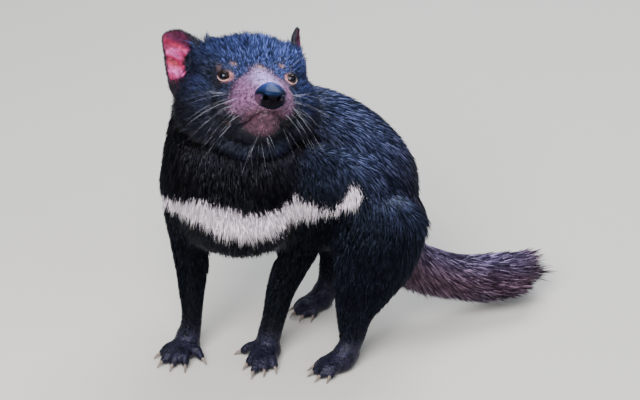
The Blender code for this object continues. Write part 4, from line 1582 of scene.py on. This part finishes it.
def eye_material():
    """A dark brown iris with fine rays round a black pupil, under a wet cornea."""
    material, tree, shader = new_material("eye")
    beside = attribute(tree, "from_axis")
    fibre = noise(tree, 1400.0, 3)
    edge = ((beside - PUPIL) * 1.6 + (fibre - 0.5) * 0.8).clamped()
    brown = mixed(tree, fibre, colour(0.004, 0.003, 0.003), colour(0.022, 0.010, 0.006))
    iris = mixed(tree, edge, colour(0.001, 0.001, 0.002), brown)
    rim = ((beside - IRIS + 0.7) * 1.4).clamped()
    white = mixed(tree, fibre, colour(0.006, 0.004, 0.004), colour(0.022, 0.013, 0.012))
    tree.plug(shader.inputs["Base Color"], mixed(tree, rim, iris, white))
    shader.inputs["Roughness"].default_value = 0.10
    shader.inputs["Specular IOR Level"].default_value = 0.20
    shader.inputs["Coat Weight"].default_value = 0.16
    shader.inputs["Specular Tint"].default_value = colour(0.60, 0.72, 1.0)
    shader.inputs["Coat Roughness"].default_value = 0.04
    return material


def make_lids(name, sign):
    """The rounded rim of both lids, lying on the eyeball round its opening."""
    middle, gaze, inward, upward = eye_axes(sign)
    mesh = bmesh.new()
    rings = []
    lower = mesh.verts.layers.float.new("lower")
    for i in range(LID_STEPS):
        angle = 2 * math.pi * i / LID_STEPS
        ring = []
        below = float(ramp(-math.sin(angle), 0.05, 0.75))
        to_nose = float(ramp(math.cos(angle), 0.6, 1.0))
        thick = 0.52 + 0.14 * below + 0.12 * to_nose
        wide = OPENING[0] if math.cos(angle) > 0 else OPENING[1]
        high = (OPENING[2] if math.sin(angle) > 0 else OPENING[3]) * (1 - 0.25 * math.cos(angle) ** 2)
        for j in range(LID_SIDES):
            turn = 2 * math.pi * j / LID_SIDES
            out = 0.35 + thick * math.cos(turn)
            rise = thick * 0.85 * math.sin(turn)
            across = (wide + out) * math.cos(angle)
            above = (high + out) * math.sin(angle)
            reach = EYE_RADIUS + 0.35 + rise - 0.10 * max(out, 0)
            flat = min(math.hypot(across, above), reach * 0.98)
            scale = flat / max(math.hypot(across, above), 1e-6)
            depth = math.sqrt(reach**2 - flat**2)
            place = middle + gaze * depth + (inward * across + upward * above) * scale
            vert = mesh.verts.new(in_head(*place))
            vert[lower] = max(below, 0.3 * to_nose)
            ring.append(vert)
        rings.append(ring)
    for i in range(LID_STEPS):
        low, high = rings[i], rings[(i + 1) % LID_STEPS]
        for j in range(LID_SIDES):
            k = (j + 1) % LID_SIDES
            mesh.faces.new((low[j], low[k], high[k], high[j]))
    bmesh.ops.recalc_face_normals(mesh, faces=mesh.faces)
    return new_object(name, mesh)


def lid_material():
    """Damp lid rims: dusky above, pale pink below and towards the nose."""
    material, tree, shader = new_material("lid_rim")
    fleck = noise(tree, 1100.0, 3)
    pale = mixed(tree, fleck, colour(0.34, 0.16, 0.16), colour(0.62, 0.42, 0.42))
    dusk = mixed(tree, fleck, colour(0.005, 0.004, 0.005), colour(0.020, 0.012, 0.014))
    tree.plug(shader.inputs["Base Color"], mixed(tree, attribute(tree, "lower"), dusk, pale))
    tree.plug(shader.inputs["Roughness"], 0.30 + 0.2 * fleck)
    bumped(tree, shader, fleck, 0.0004, 0.6)
    shader.inputs["Specular IOR Level"].default_value = 0.16
    return material


# A nostril's slit and round hole and the wing below it, on the nose's front: (side, up) from its middle
NOSTRIL = [(6.0, -4.0), (8.0, 0.2), (11.5, 2.8), (15.0, 2.4)]
NOSTRIL_HOLE = (7.0, -2.2)
NOSTRIL_WING = (11.2, -3.6)


def off_stroke(x, y, start, end):
    """How far along a straight stroke points lie, from 0 to 1, and their steps off it across and up."""
    (ax, ay), (bx, by) = start, end
    t = ((x - ax) * (bx - ax) + (y - ay) * (by - ay)) / ((bx - ax) ** 2 + (by - ay) ** 2)
    t = np.clip(t, 0, 1)
    return t, x - ax - t * (bx - ax), y - ay - t * (by - ay)


def from_line(left, up, line):
    """How far points of the nose's front are from a line of points there."""
    strokes = [off_stroke(left, up, *pair) for pair in zip(line, line[1:])]
    return np.minimum.reduce([np.hypot(aside, above) for _, aside, above in strokes])


def make_nose():
    """The nose pad: flat on top, with a rounded brow, comma-shaped nostrils and a wing below each."""
    mesh = bmesh.new()
    bmesh.ops.create_icosphere(mesh, subdivisions=6, radius=1)
    nose = new_object("nose_pad", mesh)
    ball = coordinates(nose)
    left, forward, up = ball.T
    wide = NOSE_SIZE[0] * (1 - 0.10 * ramp(-up, 0.30, 1.0) - 0.16 * ramp(up, 0.25, 1.0))
    pad = np.stack([left * wide, forward * NOSE_SIZE[1], up * NOSE_SIZE[2]], 1)
    side = np.abs(pad[:, 0])
    front = ramp(forward, -0.1, 0.35)
    groove = from_line(side, pad[:, 2], NOSTRIL)
    hole = np.hypot(side - NOSTRIL_HOLE[0], pad[:, 2] - NOSTRIL_HOLE[1])
    wing = np.hypot(side - NOSTRIL_WING[0], (pad[:, 2] - NOSTRIL_WING[1]) * 1.1)
    brow = np.exp(-(((pad[:, 2] - 1.2) / 3.2) ** 2)) * (1 - ramp(side, 6, 12))
    out = 1.5 * np.exp(-((wing / 3.2) ** 2)) + 1.6 * brow - 2.0 * ramp(pad[:, 2], 3, 12) * front
    out -= front * (2.0 * np.exp(-((groove / 0.95) ** 2)) + 3.0 * np.exp(-((hole / 1.9) ** 2)))
    out -= front * 0.9 * np.exp(-((pad[:, 0] / 0.7) ** 2)) * ramp(-pad[:, 2], 1, 5)
    pad += ball / np.array(NOSE_SIZE) * out[:, None] * 12
    hollow = front * np.maximum(np.exp(-((groove / 1.1) ** 2)), np.exp(-((hole / 2.0) ** 2)))
    set_coordinates(nose, from_head(pad + np.array(NOSE_PLACE)))
    add_attributes(
        nose,
        hollow=hollow,
        level=pad[:, 2],
        under=front * ramp(-pad[:, 2], -1.5, 2.0) * (1 - 0.7 * ramp(side, 9, 13)),
        flank=ramp(side, 9.5, 13.5) * ramp(-pad[:, 2], -3, 1) * (1 - hollow),
    )
    return nose


def nose_material():
    """Wet black hide in small round plates, with a painted blue reflection of the sky on its upper face."""
    material, tree, shader = new_material("nose_hide")
    plates = cells(tree, 850.0)
    fine = noise(tree, 1500.0, 2)
    hollow = attribute(tree, "hollow")
    black = mixed(tree, fine, colour(0.003, 0.002, 0.003), colour(0.010, 0.008, 0.010))
    under = attribute(tree, "under")
    # Painted reflection: the pad's upper face is painted blue, lighter towards its top, for the sky reflected
    # in it; lower down it is its own black
    top = ((attribute(tree, "level") + 4.0 * (fine - 0.5) - 3.0) * 0.115).clamped()
    painted_reflection = mixed(tree, top * top, colour(0.004, 0.009, 0.034), colour(0.026, 0.044, 0.175))
    hide = mixed(tree, under, painted_reflection, black)
    hide = mixed(tree, attribute(tree, "flank") * 0.8, hide, colour(0.090, 0.034, 0.062))
    tree.plug(shader.inputs["Base Color"], mixed(tree, hollow, hide, colour(0.003, 0.002, 0.003)))
    tree.plug(shader.inputs["Metallic"], under * 0.8)
    tree.plug(shader.inputs["Roughness"], 0.15 + 0.10 * plates + 0.35 * hollow)
    shader.inputs["Specular IOR Level"].default_value = 0.16
    shader.inputs["Specular Tint"].default_value = colour(0.36, 0.56, 1.0)
    bumped(tree, shader, plates + 0.3 * fine, 0.00022, 0.6)
    return material


# Rows of an ear's skin from root to top, and points across the inside of each
EAR_ROWS = 60
EAR_ACROSS = 48
# Grooves and ridges inside an ear: the ends of each, as (across, height) in half widths and heights, its half
# width in millimetres and its depth. The head lies to the + side
EAR_GROOVES = [
    ((-0.50, 0.84), (0.62, 0.52), 1.9, 1.3),
    ((-0.86, 0.58), (-0.26, 0.42), 2.0, 1.5),
    ((0.05, 0.47), (0.62, 0.40), 2.0, 1.8),
    ((-0.10, 0.14), (0.50, 0.30), 3.0, 2.6),
]
EAR_RIDGES = [
    ((-0.50, 0.66), (0.40, 0.53), 3.0, 1.2),
    ((0.04, 0.17), (0.22, 0.20), 2.8, 2.0),
    ((-0.62, 0.33), (-0.30, 0.14), 3.4, 1.2),
]
# How fast an ear narrows towards its top, and where its dusky top begins
EAR_TOPS = {"right": (0.73, 0.55), "left": (1.5, 0.36)}
# How far the ear's middle line leans towards the head, in millimetres, by height
EAR_LEAN_HEIGHTS = (0.0, 0.3, 0.6, 0.8, 0.9, 1.0)
EAR_LEANS = (0.0, 1.5, 3.2, 1.4, -1.0, -4.2)
# How much lower the patches of colour inside lie towards the head, in heights by half widths
EAR_SLANT = 0.24
# Each patch: across, height, half width, half height, weight and colour
EAR_PATCHES = [
    (-0.05, 0.69, 0.40, 0.05, 0.85, (0.36, 0.010, 0.020)),
    (0.20, 0.60, 0.30, 0.045, 0.80, (0.60, 0.026, 0.036)),
    (-0.45, 0.57, 0.30, 0.045, 0.60, (0.32, 0.10, 0.24)),
    (0.34, 0.52, 0.26, 0.032, 0.70, (0.42, 0.13, 0.28)),
    (-0.60, 0.43, 0.32, 0.065, 0.80, (0.26, 0.007, 0.016)),
    (-0.40, 0.26, 0.34, 0.07, 0.75, (0.50, 0.11, 0.30)),
    (0.02, 0.25, 0.06, 0.05, 0.75, (0.06, 0.004, 0.014)),
    (0.14, 0.18, 0.14, 0.05, 0.75, (0.46, 0.09, 0.24)),
]
# The colours inside an ear, of its dusky top, of its grooves, painted darker as shade, and its ridges,
# painted lighter as highlight, and of its back
EAR_ROSE = (0.225, 0.013, 0.055)
EAR_DUSK = (0.034, 0.008, 0.023)
GROOVE_PAINTED_SHADE = (0.12, 0.005, 0.012)
RIDGE_PAINTED_HIGHLIGHT = (0.54, 0.13, 0.33)
EAR_BACK = (0.028, 0.016, 0.024)
EAR_HAIR = (0.020, 0.018, 0.028)
# A depth inside the chest's band that keeps the ears' hair out of it, in millimetres
NO_BAND = -50.0


def ear_axes(ear):
    """An ear's root, and the ways up, across and out of its hollow, in the head's frame."""
    root = np.array(ear["root"], float)
    up = np.array(ear["height"], float)
    up /= np.linalg.norm(up)
    across = np.array(ear["width"], float)
    across -= up * (across @ up)
    across /= np.linalg.norm(across)
    facing = np.array([0, 1, 0], float)
    facing -= up * (facing @ up) + across * (facing @ across)
    return root, up, across, facing / np.linalg.norm(facing)


def ear_relief(x, y):
    """The folds inside an ear at places in millimetres across and up: how far they stand out, and how fully
    each place lies in a groove and on a ridge."""
    relief = np.zeros_like(x)
    fullest = {-1: np.zeros_like(x), 1: np.zeros_like(x)}
    for lines, sign in ((EAR_GROOVES, -1), (EAR_RIDGES, 1)):
        for (ax, ah), (bx, bh), wide, deep in lines:
            start, end = (ax * EAR_HALF_WIDTH, ah * EAR_HEIGHT), (bx * EAR_HALF_WIDTH, bh * EAR_HEIGHT)
            t, aside, above = off_stroke(x, y, start, end)
            bow = 2.0 * np.sin(math.pi * t)
            shape = np.exp(-((np.hypot(aside - bow, above - bow) / wide) ** 2))
            relief += sign * deep * shape
            fullest[sign] = np.maximum(fullest[sign], shape)
    return relief, fullest[-1], fullest[1]


def closed_rows(name, loop):
    """A closed mesh from rows of as many points each, in the head's frame, with flat ends."""
    rows, count = loop.shape[:2]
    faces = []
    for i in range(rows - 1):
        for j in range(count):
            k = (j + 1) % count
            faces.append((i * count + j, i * count + k, (i + 1) * count + k, (i + 1) * count + j))
    faces.append(tuple(range(count))[::-1])
    faces.append(tuple((rows - 1) * count + j for j in range(count)))
    made = new_object(name, (from_head(loop.reshape(-1, 3)), faces))
    mesh = bmesh.new()
    mesh.from_mesh(made.data)
    bmesh.ops.triangulate(mesh, faces=[face for face in mesh.faces if len(face.verts) > 4])
    bmesh.ops.recalc_face_normals(mesh, faces=mesh.faces)
    mesh.to_mesh(made.data)
    mesh.free()
    return made


def both(inside, behind=0.0):
    """Values for the points of an ear: row by row, those inside it and then those on its back."""
    inside = inside + np.zeros((EAR_ROWS, EAR_ACROSS))
    behind = behind + np.zeros((EAR_ROWS, EAR_ACROSS - 2))
    return np.concatenate([inside, behind], 1).ravel()


def ear_tone(across, level, crease, ridge, fleshy, dusk):
    """The colour of an ear's skin: patches, painted shade in its grooves and painted highlight on its ridges,
    and a dusky top inside, dark in the canal and behind.
    """
    tone = np.array(EAR_ROSE)
    for x, y, half_width, half_height, weight, shade in EAR_PATCHES:
        slant = level + EAR_SLANT * (across - x)
        blot = both(np.exp(-(((across - x) / half_width) ** 2) - ((slant - y) / half_height) ** 2))
        tone = blended(tone, shade, weight * blot)
    # Painted shade in the grooves and painted highlight on the ridges
    tone = blended(tone, GROOVE_PAINTED_SHADE, 0.75 * both(crease))
    tone = blended(tone, RIDGE_PAINTED_HIGHLIGHT, 0.45 * both(ridge))
    high = both(level, level)
    tone = blended(tone, EAR_DUSK, ramp(high + 0.30 * both(across), dusk, dusk + 0.28) * 0.95)
    return blended(EAR_BACK, tone, fleshy)


def make_ear(name, taper, dusk):
    """An ear's cup as one closed skin, folded inside, with a rounded rim."""
    root, up, across, facing = ear_axes(EARS[name])
    head_side = 1 if across @ root < 0 else -1
    rise = np.linspace(0, 1, EAR_ROWS)[:, None]
    angle = rise * math.radians(86)
    height = EAR_HEIGHT * np.sin(angle) - EAR_ROOT_DEPTH * (1 - rise) ** 2
    half = EAR_HALF_WIDTH * (np.cos(angle) ** taper - 0.42 * (1 - rise) ** 2)
    u = np.sin(np.linspace(-math.pi / 2, math.pi / 2, EAR_ACROSS))[None, :]
    level = height / EAR_HEIGHT
    cup = EAR_CUP * (u * u * (half / EAR_HALF_WIDTH) ** 1.6 - 0.6 * (1 - rise))
    relief, crease, ridge = ear_relief(u * half * head_side, level * EAR_HEIGHT + 0 * u)
    to_head_side = u * head_side + 0 * rise
    edge = np.maximum(np.abs(u) + 0 * rise, ramp(rise, 0.86, 1.0) + 0 * u)
    rim_start = 0.88 - 0.13 * ramp(to_head_side, -0.1, 0.5)
    inner = (1 - ramp(edge - rim_start, -0.05, 0.09)) * ramp(level, 0.0, 0.13)
    bowl = 5.0 * np.exp(-(((u * half - 4 * head_side) / 11) ** 2)) * np.exp(-(((level - 0.20) / 0.17) ** 2))
    rolled = 1.0 * np.exp(-(((edge - 0.93) / 0.07) ** 2))
    front = cup + relief * inner - bowl * inner + rolled
    back = cup - (1.3 + 1.6 * (1 - u * u) * (1 - 0.5 * level)) - bowl * inner * 0.9
    lean = np.interp(level, EAR_LEAN_HEIGHTS, EAR_LEANS) * head_side
    place = root + up * height[..., None] + across * (half * u + lean)[..., None]
    fronts = place + facing * front[..., None]
    backs = place + facing * back[..., None]
    ear = closed_rows(name + "_cup", np.concatenate([fronts, backs[:, ::-1][:, 1:-1]], 1))
    hidden = ((u * head_side - 0.62) / 0.60) ** 2 + ((level - 0.32) / 0.17) ** 2
    canal = both(np.exp(-(hidden**2)))
    fleshy = both(inner) * (1 - 0.9 * canal)
    tone = ear_tone(u * head_side, level, crease * inner, ridge * inner, fleshy, dusk)
    add_attributes(ear, skin_tint=opaque(tone), fleshy=fleshy)
    grow_hair(ear, up, across * head_side, level, edge, to_head_side, canal)
    return ear


def grow_hair(ear, up, to_head_way, level, edge, to_head_side, canal):
    """Sets how hair grows on an ear: on its back, rim, root and inner edge and over the canal."""
    turn = np.array(HEAD_TURN).T
    out = normals(ear)
    lie = np.tile(up[[1, 0, 2]] @ turn, (len(out), 1))
    lie -= out * (lie * out).sum(1)[:, None]
    lie /= np.maximum(np.linalg.norm(lie, axis=1), 1e-6)[:, None]
    rim = both(ramp(edge, 0.84, 0.97))
    root_hair = both(1 - ramp(level, 0.02, 0.16))
    inner_edge = both(ramp(to_head_side, 0.75, 0.95) * (1 - ramp(level, 0.60, 0.80)))
    hairy = np.maximum.reduce([both(0.0, 1.0), 0.55 * rim, 0.7 * root_hair, canal, inner_edge])
    aside = (to_head_way * 0.7)[[1, 0, 2]] @ turn
    longer = np.maximum.reduce([root_hair, 1.2 * canal, 1.8 * inner_edge])
    plain = np.ones(len(out))
    add_attributes(
        ear,
        lie=lie + aside * inner_edge[:, None] - aside * 0.6 * canal[:, None],
        thick=1.25 * hairy,
        reach=(0.0042 + 0.004 * longer) * (1 - 0.35 * ramp(both(level, level), 0.6, 1.0)),
        tuft_width=0.24 * MM * plain,
        band=NO_BAND * plain,
        frost=0 * plain,
        dull=0 * plain,
        wash=0.5 * plain,
        tint=opaque(np.tile(EAR_HAIR, (len(out), 1))),
    )
    number_faces(ear, np.zeros(len(ear.data.polygons)))
    unwrap(ear)


def ear_material():
    """Thin red skin inside the ear, with veins and a soft shine, dark at the rim and behind."""
    material, tree, shader = new_material("ear_flesh")
    tint = attribute(tree, "skin_tint", "Color")
    fleshy = attribute(tree, "fleshy")
    blotch = noise(tree, 240.0, 4)
    vein = cells(tree, 260.0, feature="DISTANCE_TO_EDGE")
    shade = (0.05 + 2.8 * (blotch - 0.25)).clamped() * 1.5 + 0.15
    flesh = multiplied(tree, tint, shade * 0.92, shade * 0.72, shade)
    veins = ((0.09 - vein) * 6.0).clamped() * fleshy * 0.5
    tree.plug(shader.inputs["Base Color"], mixed(tree, veins, flesh, colour(0.20, 0.012, 0.03)))
    tree.plug(shader.inputs["Roughness"], 0.60 - 0.14 * fleshy)
    shader.inputs["Specular IOR Level"].default_value = 0.17
    bumped(tree, shader, blotch + 0.4 * noise(tree, 900.0, 2), 0.0014, 0.7)
    return material


def claw_rows(paw, toe):
    """The sections of a claw, from inside its toe to its tip just off the floor."""
    _, _, tip, out = toe_line(paw, toe)
    drop = tip.z - CLAW_TIP_HEIGHT
    rows = []
    for part in (-0.35, 0.2, 0.6, 1.0):
        fall = drop * max(part, 0) ** 1.6
        radius = CLAW_RADIUS * (1 - 0.78 * max(part, 0) ** 1.3)
        centre = tip + out * (CLAW_LENGTH * (part * 0.75 + 0.22)) - Vector((0, 0, fall))
        rows.append((*(centre + SHIFT), radius * 0.8, radius))
    return rows


def make_claws(place):
    """The claws of one paw: curved, flattened at the sides, with rounded tips."""
    mesh = bmesh.new()
    for toe in PAWS[place]["toes"]:
        add_sweep(mesh, claw_rows(PAWS[place], toe), side=(0.2, 1, 0), sides=14, steps=5, caps=4)
    bmesh.ops.recalc_face_normals(mesh, faces=mesh.faces)
    return new_object(f"claws_{place}", mesh)


def claw_material():
    """Horn: dark and paler in clouds, with fine streaks."""
    material, tree, shader = new_material("claw_horn")
    streak = noise(tree, 1300.0, 3)
    cloudy = noise(tree, 220.0, 2)
    horn = mixed(tree, cloudy, colour(0.10, 0.075, 0.065), colour(0.30, 0.24, 0.20))
    shade = 0.6 + 0.7 * streak
    tree.plug(shader.inputs["Base Color"], multiplied(tree, horn, shade, shade, shade))
    tree.plug(shader.inputs["Roughness"], 0.32 + 0.2 * streak)
    bumped(tree, shader, streak, 0.0003, 0.5)
    return material


# Long hairs on each side: the middle of their patch in the head's frame, the patch's half length and half
# height, rows and columns, the way that they point, length, sag, and thickness, in millimetres
WHISKER_PATCHES = [
    ((29, 20, -27), 10, 9, 4, 4, (1.0, -0.35, -0.34), 56, 14, 0.115),
    ((24, -4, 14), 3, 2, 2, 2, (0.75, 0.25, 0.75), 30, 5, 0.095),
    ((38, -2, -44), 4, 4, 2, 2, (0.75, -0.25, -0.75), 46, 10, 0.120),
    ((8, 22, -58), 5, 3, 1, 3, (0.35, 0.05, -1.0), 24, 5, 0.10),
    ((7, -2, -66), 5, 3, 1, 2, (0.05, 0.35, -1.0), 44, 4, 0.09),
]
# A patch nearer the middle line than this hangs from the chin
CHIN_SIDE = 12
# How far outside its patch the search for a hair's root starts, and the steps along a hair
WHISKER_START = 25
WHISKER_STEPS = 9


def make_whiskers(name, sign, draw):
    """The long tapered hairs of one side of the face, each rooted in the skin."""
    mesh = bmesh.new()
    for middle, half_length, half_height, rows, columns, way, length, sag, thick in WHISKER_PATCHES:
        for row in range(rows):
            for column in range(columns):
                back = (2 * column / max(columns - 1, 1) - 1) * half_length + draw.uniform(-1.2, 1.2)
                down = (2 * row / max(rows - 1, 1) - 1) * half_height + draw.uniform(-1.0, 1.0)
                start = Vector((sign * (middle[0] + WHISKER_START), middle[1] - back, middle[2] - down))
                aim = Vector((-sign, 0, 0))
                if middle[0] < CHIN_SIDE:
                    start = Vector((sign * (middle[0] + down), middle[1] - back, middle[2] - WHISKER_START))
                    aim = Vector((0, 0, 1))
                hit, facing, _, _ = skin_tree.ray_cast(in_head(*start), head_vector(aim))
                if hit is None:
                    continue
                spread_out = Vector([draw.gauss(0, 0.20) for _ in range(3)])
                pull = Vector((sign * way[0], way[1] - 0.010 * back, way[2] - 0.030 * down)) + spread_out
                pull = (head_vector(pull.normalized()) + facing * 0.35).normalized()
                long = length * draw.uniform(0.55, 1.15) * (1 - 0.25 * row / max(rows, 1) * (rows > 2))
                line = []
                radii = []
                for k in range(WHISKER_STEPS + 1):
                    t = k / WHISKER_STEPS
                    fall = Vector((0, 0, -sag * t * t * draw.uniform(0.98, 1.02)))
                    line.append(hit + (pull * (long * t) + fall) * MM - facing * 0.0006 * (k == 0))
                    radii.append(thick * MM * (1 - t) ** 0.75 if k < WHISKER_STEPS else 0)
                tube_mesh(mesh, line, radii, 5)
    bmesh.ops.recalc_face_normals(mesh, faces=mesh.faces)
    return new_object(name, mesh)


def whisker_material():
    """Stiff silvery hair, darker here and there."""
    material, tree, shader = new_material("whisker_hair")
    patchy = noise(tree, 60.0, 2)
    pale = ((patchy - 0.45) * 6.0).clamped()
    silver = mixed(tree, pale, colour(0.05, 0.05, 0.07), colour(0.42, 0.43, 0.52))
    tree.plug(shader.inputs["Base Color"], silver)
    shader.inputs["Roughness"].default_value = 0.35
    return material


eye_gloss, lid_skin, ear_flesh = eye_material(), lid_material(), ear_material()
horn, whisker_hair = claw_material(), whisker_material()
for side, sign in (("left", 1), ("right", -1)):
    finish_piece(make_eye(f"eyeball_{side}", sign), eye_gloss, "eye", f"eye_{side}")
    finish_piece(make_lids(f"lids_{side}", sign), lid_skin, "bare_skin")
    ear = make_ear(f"ear_{side}", *EAR_TOPS[side])
    sow_coat(f"coat_ear_{side}", ear.data, 0, sowing, hair)
    finish_piece(ear, ear_flesh, "ear_skin", f"ear_{side}")
    long_hairs = make_whiskers(f"whiskers_{side}", sign, random.Random(SEED + sign))
    finish_piece(long_hairs, whisker_hair, "coat")
finish_piece(make_nose(), nose_material(), "nose_skin", "nose")
for place, paw in PAWS.items():
    claws = [f"claw_{place}_{number}" for number in range(1, len(paw["toes"]) + 1)]
    finish_piece(make_claws(place), horn, "claw", *claws)
for tuft in list(tufts.objects):
    bpy.data.objects.remove(tuft)
bpy.data.collections.remove(tufts)

# Camera, floor and light
CAMERA_PITCH = math.radians(28)
CAMERA_DISTANCE = 2.5
CAMERA_TARGET = Vector((-0.05, 0.146, 0.152)) + SHIFT
CAMERA_LENS = 135
FLOOR_HALF_SIZE = 6
# Name, azimuth and elevation in degrees, distance and size in metres, power in watts and colour
LIGHTS = [
    ("key", -18, 44, 2.2, 1.4, 104, (1.0, 0.98, 0.96)),
    ("fill", 50, 35, 2.4, 1.8, 16, (0.90, 0.95, 1.0)),
    ("back", 160, 55, 2.2, 1.4, 55, (0.92, 0.96, 1.0)),
]
LIGHT_TARGET = Vector((0, 0, 0.18))
SURROUNDING_COLOUR = (0.80, 0.88, 1.0, 1)
SURROUNDING_STRENGTH = 0.38


def look_at(obj, target, distance, azimuth, elevation):
    level = math.cos(elevation)
    back = Vector((level * math.cos(azimuth), level * math.sin(azimuth), math.sin(elevation)))
    obj.location = target + back * distance
    obj.rotation_euler = back.to_track_quat("Z", "Y").to_euler()


camera = bpy.data.objects.new("camera", bpy.data.cameras.new("camera"))
camera.data.lens = CAMERA_LENS
camera.data.sensor_width = 36
camera.data.clip_start = 0.05
camera.data.clip_end = 50
bpy.context.scene.collection.objects.link(camera)
look_at(camera, CAMERA_TARGET, CAMERA_DISTANCE, 0, CAMERA_PITCH)
bpy.context.scene.camera = camera

floor_mesh = bmesh.new()
bmesh.ops.create_grid(floor_mesh, x_segments=1, y_segments=1, size=FLOOR_HALF_SIZE)
floor = new_object("floor", floor_mesh)
floor_paint, floor_tree, floor_shader = new_material("floor")
floor_grain = noise(floor_tree, 1.5, 4)
floor_colour = mixed(floor_tree, floor_grain, colour(0.54, 0.52, 0.49), colour(0.60, 0.58, 0.55))
floor_tree.plug(floor_shader.inputs["Base Color"], floor_colour)
floor_shader.inputs["Roughness"].default_value = 0.9
floor.data.materials.append(floor_paint)

for name, azimuth, elevation, distance, size, power, tint in LIGHTS:
    light = bpy.data.objects.new(name, bpy.data.lights.new(name, "AREA"))
    light.data.size = size
    light.data.energy = power
    light.data.color = tint
    bpy.context.scene.collection.objects.link(light)
    look_at(light, LIGHT_TARGET, distance, math.radians(azimuth), math.radians(elevation))
world = bpy.data.worlds.new("world")
world.use_nodes = True
surroundings = world.node_tree.nodes["Background"]
surroundings.inputs["Color"].default_value = SURROUNDING_COLOUR
surroundings.inputs["Strength"].default_value = SURROUNDING_STRENGTH
bpy.context.scene.world = world
